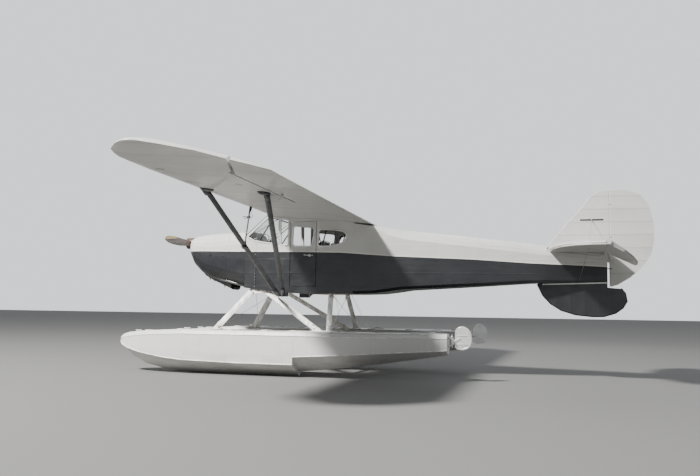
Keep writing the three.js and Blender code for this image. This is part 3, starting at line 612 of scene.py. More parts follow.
paintLine = {
    "stations": (0.1, 0.4, 1.2, 1.72, 2.78, 3.61, 4.77, 5.62, 6.28, 6.92),
    "heights": (1.91, 1.905, 1.878, 1.870, 1.850, 1.793, 1.750, 1.697, 1.670, 1.640),
    "span": (1.6, 2.0),
    # width and tone of the stripe on the paint line: a pinstripe with a painted highlight of the shoulder in it
    "stripe": 0.017,
    "light": (0.62, 0.62, 0.60),
    "lightDirt": (0.40, 0.39, 0.36),
    "dark": (0.007, 0.0078, 0.0105),
    "darkDust": (0.0135, 0.0145, 0.0175),
    "pinstripeAndHighlightTone": (0.78, 0.77, 0.72),
}


def twoTone(tree):
    # light above the paint line, dark below it, a thin light stripe on the line itself: partly a pinstripe, partly a
    # painted highlight where the shoulder catches light
    x, y, z = axes(tree)
    first, last = paintLine["stations"][0], paintLine["stations"][-1]
    along = between(tree, x, first - noseShift, last - noseShift)
    line = put(tree, "ShaderNodeValToRGB", {"Fac": along})
    stops = line.color_ramp.elements
    for station in paintLine["stations"][1:-1]:
        stops.new((station - first) / (last - first))
    low, high = paintLine["span"]
    for stop, height in zip(stops, paintLine["heights"]):
        shade = (height - low) / (high - low)
        stop.color = (shade, shade, shade, 1)
    height = between(tree, line.outputs["Color"], 0.0, 1.0, paintLine["span"])
    above = sums(tree, "SUBTRACT", z, height)
    dirt = patches(tree, 2.2, (1, 1, 0.5), 6, 0.45, 0.75)
    light = blended(tree, times(tree, dirt, 0.30), paintLine["light"], paintLine["lightDirt"])
    dust = patches(tree, 3.0, (0.6, 1, 1.4), 7, 0.4, 0.8)
    dark = blended(tree, dust, paintLine["dark"], paintLine["darkDust"])
    colour = blended(tree, between(tree, above, -0.0008, 0.0008), dark, light)
    # the light stripe: a pinstripe and a painted highlight along the shoulder
    edge = between(tree, sums(tree, "ABSOLUTE", above), paintLine["stripe"] / 2, paintLine["stripe"] / 2 * 0.8)
    return blended(tree, edge, colour, paintLine["pinstripeAndHighlightTone"])


def makeDopedSides():
    cloth = {"weave": 900.0, "stringerPitch": 0.21, "bayPitch": 0.62}
    material, tree, shader = skinStart("dopedSides", 0.42)
    coloured(tree, shader, twoTone(tree))
    x, y, z = axes(tree)
    weave = spots(tree, cloth["weave"], detail=1)
    stringers = stripes(tree, z, cloth["stringerPitch"], 0.028, 0.06)
    bays = stripes(tree, x, cloth["bayPitch"], 0.05, 0.22)
    slack = spots(tree, 2.4, (1, 1, 2.2), 2)
    bumped(tree, shader, [(slack, 0.006), (stringers, 0.0007), (bays, 0.0005), (weave, 0.00012)])
    roughened(tree, shader, spots(tree, 5.0, detail=5), 0.34, 0.52)
    shader.inputs["Coat Weight"].default_value = 0.06
    return material


def makeCowlPaint():
    metal = {"chipScale": 26.0, "lipTone": (0.42, 0.42, 0.42), "sootTone": (0.05, 0.045, 0.038)}
    material, tree, shader = skinStart("cowlPaint", 0.3)
    colour = twoTone(tree)
    x, y, z = axes(tree)
    chips = between(tree, spots(tree, metal["chipScale"], (1, 1, 1), 8, 0.7), 0.70, 0.73)
    lip = between(tree, x, 0.25 - noseShift, 0.12 - noseShift, soft=True)
    worn = times(tree, chips, sums(tree, "ADD", times(tree, lip, 0.8), 0.10))
    soot = times(tree, patches(tree, 3.2, (0.5, 1, 1.6), 5, 0.42, 0.68), between(tree, z, 1.62, 1.36, soft=True))
    colour = blended(tree, times(tree, soot, 0.55), colour, metal["sootTone"])
    coloured(tree, shader, blended(tree, worn, colour, metal["lipTone"]))
    dents = spots(tree, 5.0, detail=2)
    orange = spots(tree, 420.0, detail=1)
    bumped(tree, shader, [(dents, 0.0035), (orange, 0.00006), (worn, -0.0002)])
    roughened(tree, shader, spots(tree, 7.0, detail=6), 0.20, 0.40)
    shader.inputs["Coat Weight"].default_value = 0.25
    shader.inputs["Coat Roughness"].default_value = 0.2
    return material


def makeDopedCloth(name, tone, dirtTone, ribAxis, ribPitch, ribOffset=0.0, sag=0.0022):
    # doped cloth over ribs: taped rib lines, a slight sag between them and fine weave
    material, tree, shader = skinStart(name, 0.45)
    across = axes(tree)[ribAxis]
    ribs = stripes(tree, across, ribPitch, 0.030, ribOffset)
    hollow = sums(tree, "PINGPONG", sums(tree, "ADD", across, 50 * ribPitch - ribOffset), ribPitch / 2)
    hollow = between(tree, hollow, 0.0, ribPitch / 2, (1.0, 0.0), soft=True)
    weave = spots(tree, 900.0, detail=1)
    streak = patches(tree, 3.0, (0.35, 1.6, 1), 6, 0.42, 0.78)
    colour = blended(tree, times(tree, streak, 0.4), tone, dirtTone)
    tape = times(tree, ribs, 0.32)
    coloured(tree, shader, blended(tree, tape, colour, [c * 0.62 for c in tone]))
    bumped(tree, shader, [(hollow, sag), (ribs, 0.0009), (weave, 0.00012)])
    roughened(tree, shader, spots(tree, 6.0, detail=5), 0.36, 0.56)
    shader.inputs["Coat Weight"].default_value = 0.08
    return material


def makeStrutPaint(name, tone, wornTone, gloss=(0.36, 0.56)):
    # paint with fine runs along the tube and small chips down to the metal
    material, tree, shader = skinStart(name, 0.35)
    runs = spots(tree, 14.0, (1, 1, 0.12), 5)
    colour = blended(tree, between(tree, runs, 0.4, 0.75), tone, [c * 1.9 + 0.008 for c in tone])
    chips = between(tree, spots(tree, 60.0, (1, 1, 0.5), 8, 0.7), 0.725, 0.745)
    coloured(tree, shader, blended(tree, chips, colour, wornTone))
    bumped(tree, shader, [(spots(tree, 260.0, (1, 1, 0.3), 2), 0.00010), (chips, -0.00015)])
    roughened(tree, shader, spots(tree, 20.0, (1, 1, 0.4), 5), *gloss)
    shader.inputs["Coat Weight"].default_value = 0.06
    return material


floatSkin = {
    "tone": (0.76, 0.76, 0.74),
    "stain": (0.42, 0.40, 0.34),
    "bareMetal": (0.33, 0.33, 0.33),
    "seamTone": (0.25, 0.25, 0.24),
    "waterHeight": 0.30,
}


def makeFloatPaint():
    # painted sheet metal: frames and rivet rows, a faint stain up to the waterline, scuffs along the chine
    material, tree, shader = skinStart("floatPaint", 0.33)
    x, y, z = axes(tree)
    stain = patches(tree, 3.4, (0.5, 1, 2.4), 7, 0.40, 0.72)
    low = between(tree, z, floatSkin["waterHeight"] + 0.10, floatSkin["waterHeight"] - 0.12, soft=True)
    runs = patches(tree, 9.0, (1.0, 1.0, 0.08), 6, 0.55, 0.80)
    grime = sums(tree, "ADD", times(tree, stain, times(tree, low, 0.55)), times(tree, runs, 0.22))
    colour = blended(tree, grime, floatSkin["tone"], floatSkin["stain"])
    scuffs = between(tree, spots(tree, 34.0, (0.25, 1, 1), 8, 0.7), 0.70, 0.73)
    bottom = between(tree, z, 0.26, 0.06, soft=True)
    scuffs = times(tree, scuffs, sums(tree, "ADD", times(tree, bottom, 0.8), 0.08))
    colour = blended(tree, scuffs, colour, floatSkin["bareMetal"])
    frames = stripes(tree, x, 0.47, 0.012, 0.11)
    seam = stripes(tree, x, 0.94, 0.004, 0.11)
    coloured(tree, shader, blended(tree, times(tree, seam, 0.35), colour, floatSkin["seamTone"]))
    wobble = spots(tree, 3.5, detail=3)
    bumped(tree, shader, [(wobble, 0.005), (frames, 0.0006), (seam, -0.0005), (scuffs, -0.0002)])
    roughened(tree, shader, spots(tree, 6.0, detail=6), 0.26, 0.46)
    return material


def makeGlass():
    # thin clear sheet: mostly let through, glossy at a slant, a few smears
    material = bpy.data.materials.new("clearSheet")
    material.use_nodes = True
    tree = material.node_tree
    tree.nodes.remove(tree.nodes["Principled BSDF"])
    output = tree.nodes["Material Output"]
    clear = put(tree, "ShaderNodeBsdfTransparent", {"Color": (0.985, 0.99, 0.988, 1)})
    gloss = put(tree, "ShaderNodeBsdfGlossy", {"Color": (0.95, 0.96, 0.97, 1), "Roughness": 0.04})
    haze = put(tree, "ShaderNodeBsdfDiffuse", {"Color": (0.62, 0.63, 0.60, 1)})
    slant = times(tree, put(tree, "ShaderNodeFresnel", {"IOR": 1.3}).outputs["Fac"], 0.30)
    smear = between(tree, spots(tree, 6.0, (1, 1, 3), 7), 0.5, 0.9, (0.0, 0.05))
    shine = put(tree, "ShaderNodeMixShader", {0: slant, 1: clear.outputs[0], 2: gloss.outputs[0]})
    seen = put(tree, "ShaderNodeMixShader", {0: smear, 1: shine.outputs[0], 2: haze.outputs[0]})
    tree.links.new(seen.outputs[0], output.inputs["Surface"])
    return material


def makeLaminatedWood(name, pale, deep, layerAxis, pitch, grain=(1.0, 0.05, 1.0)):
    # glued layers with grain along the blade under varnish
    material, tree, shader = skinStart(name, 0.3)
    across = axes(tree)[layerAxis]
    layer = sums(tree, "PINGPONG", sums(tree, "ADD", across, 50 * pitch), pitch)
    layer = between(tree, layer, pitch * 0.46, pitch * 0.54)
    fibre = spots(tree, 38.0, grain, 8, 0.65)
    figure = spots(tree, 6.0, grain, 3)
    colour = blended(tree, between(tree, fibre, 0.35, 0.7), pale, deep)
    colour = blended(tree, times(tree, between(tree, figure, 0.45, 0.65), 0.5), colour, deep)
    coloured(tree, shader, blended(tree, times(tree, layer, 0.45), colour, [c * 0.45 for c in deep]))
    bumped(tree, shader, [(fibre, 0.0002)])
    roughened(tree, shader, fibre, 0.38, 0.58)
    shader.inputs["Coat Weight"].default_value = 0.05
    shader.inputs["Coat Roughness"].default_value = 0.2
    return material


def makePlanks():
    # spruce boards under thin varnish, worn pale where feet go
    material, tree, shader = skinStart("floorBoards", 0.55)
    x, y, z = axes(tree)
    gaps = stripes(tree, y, 0.11, 0.006)
    fibre = spots(tree, 22.0, (0.12, 1.4, 1), 8, 0.65)
    worn = patches(tree, 4.0, (1, 1, 1), 5, 0.42, 0.66)
    colour = blended(tree, between(tree, fibre, 0.35, 0.7), (0.34, 0.21, 0.11), (0.16, 0.085, 0.04))
    colour = blended(tree, times(tree, worn, 0.5), colour, (0.42, 0.33, 0.23))
    coloured(tree, shader, blended(tree, gaps, colour, (0.02, 0.015, 0.01)))
    bumped(tree, shader, [(gaps, -0.002), (fibre, 0.0004)])
    roughened(tree, shader, worn, 0.42, 0.68)
    return material


def makeMetal(name, tone, stainTone, gloss=(0.22, 0.45), metal=0.9, brush=(1, 1, 1)):
    # bare or plated metal: brushed grain, a bloom of stain and fine scratches
    material, tree, shader = skinStart(name, 0.35, metal)
    bloom = patches(tree, 11.0, (1, 1, 1), 7, 0.46, 0.76)
    coloured(tree, shader, blended(tree, times(tree, bloom, 0.6), tone, stainTone))
    grain = spots(tree, 240.0, brush, 3)
    scratch = between(tree, spots(tree, 48.0, (0.1, 1, 1), 9, 0.7), 0.69, 0.71)
    bumped(tree, shader, [(grain, 0.00008), (scratch, -0.0001)])
    roughened(tree, shader, spots(tree, 30.0, brush, 6), *gloss)
    return material


def makeCastIron():
    material, tree, shader = skinStart("castIron", 0.6, 0.55)
    soot = patches(tree, 9.0, (1, 1, 1), 7, 0.4, 0.7)
    rust = patches(tree, 21.0, (1, 1, 1), 8, 0.58, 0.72, 0.65)
    colour = blended(tree, soot, (0.17, 0.165, 0.16), (0.065, 0.060, 0.055))
    coloured(tree, shader, blended(tree, times(tree, rust, 0.6), colour, (0.17, 0.075, 0.035)))
    bumped(tree, shader, [(spots(tree, 320.0, detail=3), 0.0006)])
    roughened(tree, shader, soot, 0.45, 0.8)
    return material


def makeLeather(name, tone, rubbedTone):
    # grained hide, rubbed paler over the crown and darker in the creases
    material, tree, shader = skinStart(name, 0.5)
    where = put(tree, "ShaderNodeTexCoord").outputs["Object"]
    grain = put(
        tree, "ShaderNodeTexVoronoi", {"Vector": where, "Scale": 330.0}, feature="DISTANCE_TO_EDGE"
    ).outputs["Distance"]
    crease = between(tree, grain, 0.0, 0.10)
    broad = spots(tree, 16.0, (1, 1, 1), 7, 0.6)
    rubbed = patches(tree, 5.0, (1, 1, 1), 6, 0.44, 0.70)
    colour = blended(tree, times(tree, rubbed, 0.6), tone, rubbedTone)
    coloured(tree, shader, blended(tree, crease, [c * 0.45 for c in tone], colour))
    bumped(tree, shader, [(broad, 0.0012), (crease, 0.0003)])
    roughened(tree, shader, rubbed, 0.36, 0.6)
    return material


def makeCrinkle():
    # wrinkle-finish black paint
    material, tree, shader = skinStart("crinkleBlack", 0.5)
    where = put(tree, "ShaderNodeTexCoord").outputs["Object"]
    wrinkle = put(
        tree, "ShaderNodeTexVoronoi", {"Vector": where, "Scale": 420.0}, feature="SMOOTH_F1"
    ).outputs["Distance"]
    dust = patches(tree, 12.0, (1, 1, 1), 6, 0.45, 0.75)
    coloured(tree, shader, blended(tree, times(tree, dust, 0.5), (0.018, 0.018, 0.02), (0.07, 0.068, 0.065)))
    bumped(tree, shader, [(wrinkle, 0.0004)])
    roughened(tree, shader, dust, 0.38, 0.62)
    return material


def makeRubber():
    material, tree, shader = skinStart("blackRubber", 0.7)
    bloom = patches(tree, 18.0, (1, 1, 1), 7, 0.4, 0.75)
    coloured(tree, shader, blended(tree, bloom, (0.016, 0.016, 0.017), (0.06, 0.06, 0.058)))
    bumped(tree, shader, [(spots(tree, 500.0, detail=2), 0.0002)])
    roughened(tree, shader, bloom, 0.55, 0.8)
    return material


def makeColourDope(name, tone):
    # small parts in one clear colour
    material, tree, shader = skinStart(name, 0.25)
    shade = spots(tree, 30.0, detail=5)
    coloured(tree, shader, blended(tree, between(tree, shade, 0.35, 0.75), tone, [c * 0.5 for c in tone]))
    bumped(tree, shader, [(shade, 0.0002)])
    shader.inputs["Coat Weight"].default_value = 0.5
    return material


palette = {
    "lightDope": ((0.58, 0.58, 0.56), (0.42, 0.41, 0.38)),
    "darkPaint": ((0.013, 0.014, 0.019), (0.24, 0.24, 0.24)),
    "whitePaint": ((0.72, 0.72, 0.70), (0.40, 0.40, 0.40)),
}
skin = {
    "sides": makeDopedSides(),
    "cowl": makeCowlPaint(),
    "wing": makeDopedCloth("wingCloth", *palette["lightDope"], 1, 0.305, 0.10),
    "fin": makeDopedCloth("finCloth", *palette["lightDope"], 2, 0.19, 0.03, 0.0012),
    "tail": makeDopedCloth("tailCloth", *palette["lightDope"], 1, 0.235, 0.12, 0.0014),
    "darkCloth": makeDopedCloth("darkCloth", paintLine["dark"], paintLine["darkDust"], 0, 0.2, 0.0, 0.0012),
    "strut": makeStrutPaint("strutPaint", *palette["darkPaint"]),
    "whiteTube": makeStrutPaint("whiteTubePaint", *palette["whitePaint"]),
    "float": makeFloatPaint(),
    "glass": makeGlass(),
    "propeller": makeLaminatedWood("propellerWood", (0.095, 0.036, 0.014), (0.036, 0.014, 0.007), 0, 0.021),
    "boards": makePlanks(),
    "steel": makeMetal("bareSteel", (0.52, 0.52, 0.53), (0.20, 0.18, 0.16)),
    "blade": makeMetal("bladeMetal", (0.70, 0.70, 0.69), (0.40, 0.39, 0.36), (0.30, 0.5), 0.55),
    "brass": makeMetal("brass", (0.40, 0.29, 0.13), (0.17, 0.115, 0.05), (0.34, 0.55)),
    "alloy": makeMetal("dullAlloy", (0.62, 0.62, 0.61), (0.33, 0.32, 0.30), (0.3, 0.5), 0.8),
    "iron": makeCastIron(),
    "leather": makeLeather("seatLeather", (0.115, 0.048, 0.022), (0.26, 0.13, 0.065)),
    "crinkle": makeCrinkle(),
    "rubber": makeRubber(),
    "dial": makeColourDope("dialFace", (0.012, 0.012, 0.012)),
    "whiteMark": makeColourDope("dialMark", (0.75, 0.74, 0.70)),
}

skinOfNode = {
    "sides": ["cabin_wall_left", "cabin_wall_right", "door_left", "door_right", "fuselage_rear"],
    "cowl": ["cowl_upper", "cowl_lower", "firewall"],
    "wing": ["wing_left", "wing_right", "aileron_left", "aileron_right", "roof_centre_section"],
    "fin": ["fin", "rudder"],
    "tail": ["tailplane", "elevator"],
    "darkCloth": ["ventral_fin"],
    "strut": [n for n in cad if n.startswith(("lift_strut", "jury_strut"))],
    "whiteTube": [n for n in cad if n.startswith(("float_strut", "spreader"))],
    "float": ["float_left", "float_right"],
    "glass": [n for n in cad if "window" in n or n.startswith("windshield")],
    "propeller": ["propeller"],
    "steel": ["propeller_hub_plate", "propeller_shaft", "water_rudder_post_left", "water_rudder_post_right"],
    "blade": ["water_rudder_left", "water_rudder_right"],
    "iron": ["engine_block", "exhaust_stub"],
    "leather": ["front_seat_left", "front_seat_right", "rear_bench"],
    "boards": ["cabin_floor"],
    "crinkle": ["instrument_panel", "control_sticks"],
}
for key, names in skinOfNode.items():
    for name in names:
        cad[name].data.materials.clear()
        cad[name].data.materials.append(skin[key])
unpainted = set(cad) - {name for names in skinOfNode.values() for name in names}
print("materials on", len(cad) - len(unpainted), "nodes, left over:", sorted(unpainted))


# ---- cabin glazing ----
doors = ("door_left", "door_right")
glazing = {
    "frameWidth": 0.013,
    "frameThickness": 0.0035,
    "overlap": 0.004,
    "beadRadius": 0.0045,
    "beadDepth": 0.009,
}
cabinPlan = ((1.2, 0.505), (1.9, 0.564), (3.0, 0.556))
paneOutlines = {
    "windshieldSide": (
        0.014,
        [
            (1.248, 2.106), (1.582, 2.388), (1.612, 2.400), (1.775, 2.384), (1.785, 1.988), (1.677, 1.996),
            (1.520, 2.015), (1.368, 2.042)
        ]
    ),
    "quarter": (0.032, [(1.822, 1.975), (1.815, 2.378), (1.945, 2.366), (1.945, 1.960)]),
    "door": (0.048, [(2.020, 1.950), (2.030, 2.262), (2.378, 2.226), (2.336, 1.945)]),
    "rear": (
        0.046,
        [
            (2.436, 1.944), (2.456, 2.200), (2.690, 2.190), (2.840, 2.166), (2.896, 2.106), (2.868, 2.036),
            (2.795, 1.980), (2.640, 1.948)
        ]
    ),
}


def skinHalfWidth(x):
    (x0, w0), (x1, w1), (x2, w2) = cabinPlan
    if x < x1:
        return w0 + (w1 - w0) * (x - x0) / (x1 - x0)
    return w1 + (w2 - w1) * (x - x1) / (x2 - x1)


def onNearSide(lift):
    return lambda x, z, depth: at(x, -(skinHalfWidth(x) + lift + depth), z)


for name, (radius, outline) in paneOutlines.items():
    riders = doors if name == "door" else None
    inner = rounded(grown(outline, -glazing["overlap"]), radius - glazing["overlap"])
    outer = rounded(grown(outline, glazing["frameWidth"]), radius + glazing["frameWidth"])
    lift = 0.0004 + glazing["frameThickness"] / 2
    frameOf = plate(name + "Frame", [outer, inner], glazing["frameThickness"], onNearSide(lift), 0.0009)
    bothSides(frameOf, name + "Frame", "alloy", riders)
    depth = glazing["beadDepth"]
    beadPath = [onNearSide(-depth)(x, z, 0) for x, z in inner]
    beadOf = tube(name + "Bead", beadPath, glazing["beadRadius"], 8, closed=True)
    bothSides(beadOf, name + "Bead", "rubber", riders)
    screws = []
    run = rounded(grown(outline, glazing["frameWidth"] * 0.45), radius)
    length = 0.0
    for a, b in zip(run, run[1:] + run[:1]):
        piece = (b - a).length
        while length < piece:
            spot = a.lerp(b, length / piece)
            screws.append((onNearSide(0.0038)(spot.x, spot.y, 0), toPort))
            length += 0.06
        length -= piece
    sownPair(name + "Screws", domeSeed("windowScrew"), screws, "steel", riders)

# the bent windshield: a bar on its ridge, a post up each side and a bead where it stands on the deck
shieldBars = {
    "ridgeWidth": 0.018,
    "postRadius": 0.0105,
    "footRadius": 0.007,
    "foot": ((1.164, 0.0, 2.2165), (1.190, 0.075, 2.2150), (1.211, 0.138, 2.2135), (1.232, 0.205, 2.2125),
             (1.247, 0.268, 2.2105), (1.2515, 0.320, 2.2030), (1.249, 0.356, 2.1950), (1.244, 0.388, 2.1845),
             (1.236, 0.412, 2.1710), (1.222, 0.434, 2.1540), (1.199, 0.453, 2.1340), (1.180, 0.464, 2.1170)),
}
ridge = bar(
    "windshieldRidge", at(1.163, 0, 2.2155), at(1.610, 0, 2.4665), shieldBars["ridgeWidth"], 0.005, (-0.49, 0, 0.87),
    0.0015
)
finishWith(ridge, "strut", "airframe", smooth=30)
foot = [at(*p) for p in shieldBars["foot"]]
foot = [Vector((p.x, -p.y, p.z)) for p in reversed(foot[1:])] + foot
footBead = tube("windshieldFootBead", foot, shieldBars["footRadius"], 10, soft=True)
finishWith(footBead, "rubber", "airframe", smooth=60)
postPath = [at(1.186, -0.4795, 2.100), at(1.214, -0.491, 2.130), at(1.640, -0.523, 2.487)]
bothSides(tube("windshieldPost", postPath, shieldBars["postRadius"], 12), "windshieldPost", "strut")

# the metal side panels end behind the firewall: a lapped edge and its screws
sidePanel = {"edge": 1.394, "low": 1.300, "high": 2.095, "pitch": 0.052}
edgePath = [onNearSide(0.0008)(sidePanel["edge"], z, 0) for z in steps(sidePanel["low"], sidePanel["high"], 0.2)]
bothSides(tube("panelEdge", edgePath, 0.0026, 8), "sidePanelEdge", "sides")
places = []
for z in steps(sidePanel["low"] + 0.02, sidePanel["high"] - 0.02, sidePanel["pitch"]):
    places.append((onNearSide(0.0003)(sidePanel["edge"] - 0.016, z, 0), toPort))
sownPair("sidePanelScrews", domeSeed("panelScrew"), places, "steel")


# ---- wing struts ----
wingForm = {
    "rootHeight": 2.433,
    "leadingEdge": 1.610,
    "incidence": 0.09,
    "dihedral": 0.022,
    "rootY": 0.564,
    "chord": 1.676,
}
wingStrut = {
    "headY": 3.13,
    "frontHead": (1.754, 2.482),
    "rearHead": (2.595, 2.404),
    "foot": (1.85, 0.59, 1.18),
    "cuffLength": 0.11,
    "juryClamp": 0.05,
    "juryShare": 0.505,
}
frontHead = at(wingStrut["frontHead"][0], -wingStrut["headY"], wingStrut["frontHead"][1])
rearHead = at(wingStrut["rearHead"][0], -wingStrut["headY"], wingStrut["rearHead"][1])
footX, footY, footZ = wingStrut["foot"]
frontFoot, rearFoot = at(footX - 0.036, -footY, footZ), at(footX + 0.046, -footY, footZ)

for name, station, length in (("frontStrutCap", 1.800, 0.092), ("rearStrutCap", 2.566, 0.080)):
    # the caps on the wing are screwed on round their sloping edge and sealed with a bead
    low = wingForm["rootHeight"] - wingForm["incidence"] * (station - wingForm["leadingEdge"])
    middle = at(station, -wingStrut["headY"], low + wingForm["dihedral"] * (wingStrut["headY"] - wingForm["rootY"]))
    seal, screws = [], []
    for k in range(24):
        turn = 2 * math.pi * k / 24
        out = Vector((length * math.cos(turn), 0.084 * math.sin(turn), 0))
        drop = Vector((0, 0, -wingForm["incidence"] * out.x - wingForm["dihedral"] * out.y))
        seal.append(middle + out * 1.01 + drop + Vector((0, 0, -0.002)))
        if k % 3 == 1:
            screws.append((middle + out * 0.90 + drop + Vector((0, 0, -0.0170)), (out.x * 4, out.y * 4, -1)))
    sealOf = tube(name + "Seal", seal, 0.003, 8, closed=True)
    screwsOf = sown(name + "Screws", domeSeed("capScrew"), screws)
    bothSides(sealOf, name + "Seal", "strut")
    bothSides(screwsOf, name + "Screws", "steel")


def sleeveOn(name, start, end, share, length, wide, deep, facing):
    # an oval band around a strut, centred at a share of its length
    start, end = Vector(start), Vector(end)
    along = (end - start).normalized()
    centre = start.lerp(end, share)
    facing = (Vector(facing) - Vector(facing).dot(along) * along).normalized()
    across = facing.cross(along)
    letGo()
    bpy.ops.mesh.primitive_cylinder_add(vertices=28, radius=0.5, depth=length, end_fill_type="NGON")
    band = bpy.context.object
    band.scale = (wide, deep, 1)
    settle(band, name)
    bevel = {"offset": 0.003, "segments": 2, "affect": "EDGES"}
    onChosen(band, "VERT", band.data.polygons, lambda face: abs(face.normal.z) > 0.9, bpy.ops.mesh.bevel, **bevel)
    turn = Matrix((across, facing, along)).transposed().to_4x4()
    band.matrix_world = Matrix.Translation(centre) @ turn
    return settle(band, name)


front, rear = (frontFoot, frontHead), (rearFoot, rearHead)
cuffPlaces = (
    ("frontFootCuff", front, 0.055, 0.086, 0.047),
    ("rearFootCuff", rear, 0.070, 0.084, 0.047),
    ("frontHeadCuff", front, 0.972, 0.094, 0.052),
    ("rearHeadCuff", rear, 0.970, 0.090, 0.052),
)
cuffs = []
for name, ends, share, wide, deep in cuffPlaces:
    cuffs.append(sleeveOn(name, *ends, share, wingStrut["cuffLength"], wide, deep, toStarboard))
for cuff in cuffs:
    bothSides(cuff, cuff.name, "strut")
clamp = sleeveOn("juryClamp", *front, wingStrut["juryShare"], wingStrut["juryClamp"], 0.096, 0.054, toStarboard)
bothSides(clamp, "juryClamp", "strut")
juryFoot, juryHead = frontFoot.lerp(frontHead, wingStrut["juryShare"]), at(1.715, -1.53, 2.45)
toJuryHead = (juryHead - juryFoot).normalized()
for name, end, first, last in (("juryFootSocket", juryFoot, 0.02, 0.10), ("juryHeadSocket", juryHead, -0.085, -0.004)):
    bothSides(rod(name, end + toJuryHead * first, end + toJuryHead * last, 0.0155, 14, round=0.003), name, "strut")

places = []
for start, end in ((frontFoot, frontHead), (rearFoot, rearHead)):
    for share in (0.035, 0.075, 0.962, 0.982):
        places.append((start.lerp(end, share) + Vector((0, -0.0255, 0.006)), (0, -1, 0.25)))
sownPair("strutBolts", boltSeed("strut"), places, "steel")

# speed and static pressure tubes held out ahead of the near jury strut
headTube = {"height": 2.283, "reach": 0.10, "radius": 0.0055}
share = (headTube["height"] - juryFoot.z) / (juryHead.z - juryFoot.z)
hold = juryFoot.lerp(juryHead, share)
tubes = []
for name, nose, dz in (("speedTube", -headTube["reach"], 0.010), ("staticTube", -headTube["reach"] + 0.02, -0.012)):
    ends = hold + Vector((nose, 0, dz)), hold + Vector((0.03, 0, dz))
    tubes.append(rod(name, *ends, headTube["radius"], 12, round=0.002))
lower, upper = hold + Vector((0.03, 0, -0.012)), hold + Vector((0.05, 0, 0.0))
alongStrut = [hold.lerp(juryHead, 0.5) + Vector((0.020, -0.004, 0)), juryHead + Vector((0.022, 0, -0.004))]
tubes += [
    bar(
        "tubeBracket", hold + Vector((-0.03, -0.013, 0)), hold + Vector((0.02, -0.013, 0)), 0.034, 0.004, toStarboard,
        0.001
    ),
    tube("pressureLine", [lower, upper] + alongStrut, 0.003, 8, soft=True),
]
finishWhole("pressureHead", tubes, "strut", 40)

# mooring ring under each front spar
tieRing = ring("mooringRing", at(1.70, -1.50, 2.420), toStarboard, 0.020, 0.0035)
eye = rod("mooringEye", at(1.70, -1.50, 2.455), at(1.70, -1.50, 2.436), 0.007, 12, round=0.0015)
bothSides(joined("mooringRing", [tieRing, eye]), "mooringRing", "steel")


# ---- float gear ----
gear = {
    # head and foot of each leg and its chord across the leg
    "front": ((1.360, 0.440, 1.290), (0.836, 0.800, 0.620), 0.093),
    "diagonal": ((1.475, 0.440, 1.275), (2.585, 0.800, 0.620), 0.080),
    "rear": ((2.625, 0.440, 1.225), (2.700, 0.800, 0.620), 0.082),
    "deck": 0.650,
    "wireRadius": 0.0032,
}
legBolts, footPlates, legCuffs = [], [], []
for name in ("front", "diagonal", "rear"):
    head, foot, chord = gear[name]
    head, foot = at(head[0], -head[1], head[2]), at(foot[0], -foot[1], foot[2])
    along = (head - foot).normalized()
    reach = (head - foot).length
    outward = (Vector(toPort) - Vector(toPort).dot(along) * along).normalized()
    onFloat = foot + along * (gear["deck"] - foot.z) / along.z
    span = 0.075 / along.z ** 0.5
    # base plate screwed to the deck
    plateLength = chord / max(0.45, along.z) / 2 + 0.035
    low = Vector((onFloat.x - plateLength, onFloat.y - 0.052, gear["deck"] + 0.0004))
    high = Vector((onFloat.x + plateLength, onFloat.y + 0.052, gear["deck"] + 0.0065))
    footPlates.append(block("footPlate", low, high, 0.0022))
    for dx in (-plateLength + 0.014, plateLength - 0.014):
        for dy in (-0.038, 0.038):
            legBolts.append((Vector((onFloat.x + dx, onFloat.y + dy, gear["deck"] + 0.0062)), upward))
    # cheeks of the foot's fork with the pin through them, and a cuff over the leg's end
    for side in (-1, 1):
        start = onFloat + outward * side * 0.0262 - along * 0.004
        footPlates.append(
            bar("forkCheek", start, start + along * (span + 0.012), chord * 0.62, 0.005, outward, 0.0015)
        )
    share = ((onFloat - foot).length + span * 0.62) / reach
    pin = foot.lerp(head, share)
    footPlates.append(rod("forkPin", pin - outward * 0.034, pin + outward * 0.034, 0.008, 14, round=0.0015))
    legBolts.append((pin + outward * 0.033, outward))
    legCuffs.append(sleeveOn("legCuff", foot, head, share + 0.055, 0.028, chord + 0.006, 0.050, outward))
    if name != "diagonal":
        top = 1.0 - 0.075 / reach
        legCuffs.append(sleeveOn("legCuff", foot, head, top, 0.050, chord + 0.007, 0.052, outward))
        pin = foot.lerp(head, top)
        legBolts += [(pin + outward * 0.025 + along * step, outward) for step in (-0.012, 0.012)]
bothSides(footPlates, "legFootPlates", "whiteTube", smooth=35)
bothSides(legCuffs, "legCuffs", "whiteTube", smooth=35)

# the knuckle where the front leg and the diagonal meet under the belly: a gusset with a big pin
gusset = [
    (1.272, 1.262), (1.322, 1.292), (1.420, 1.284), (1.560, 1.262), (1.566, 1.238), (1.470, 1.222), (1.392, 1.204),
    (1.328, 1.204), (1.280, 1.232)
]
outline = rounded(gusset, 0.014)
cheeks = []
for y in (-0.4135, -0.4710):
    cheeks.append(
        plate("legGusset", [outline], 0.004, lambda u, v, d, y=y: at(u, y - (1.29 - v) * 0.53 + d, v), 0.001)
    )
cheeks.append(rod("gussetPin", at(1.359, -0.425, 1.226), at(1.359, -0.545, 1.226), 0.013, 18, round=0.002))
bothSides(cheeks, "legGussets", "whiteTube", smooth=35)
legBolts += [
    (at(1.359, -0.540, 1.226), toPort), (at(1.312, -0.497, 1.250), toPort), (at(1.425, -0.500, 1.246), toPort),
    (at(1.520, -0.492, 1.250), toPort), (at(1.365, -0.487, 1.268), toPort)
]
sownPair("gearBolts", boltSeed("gear"), legBolts, "steel")

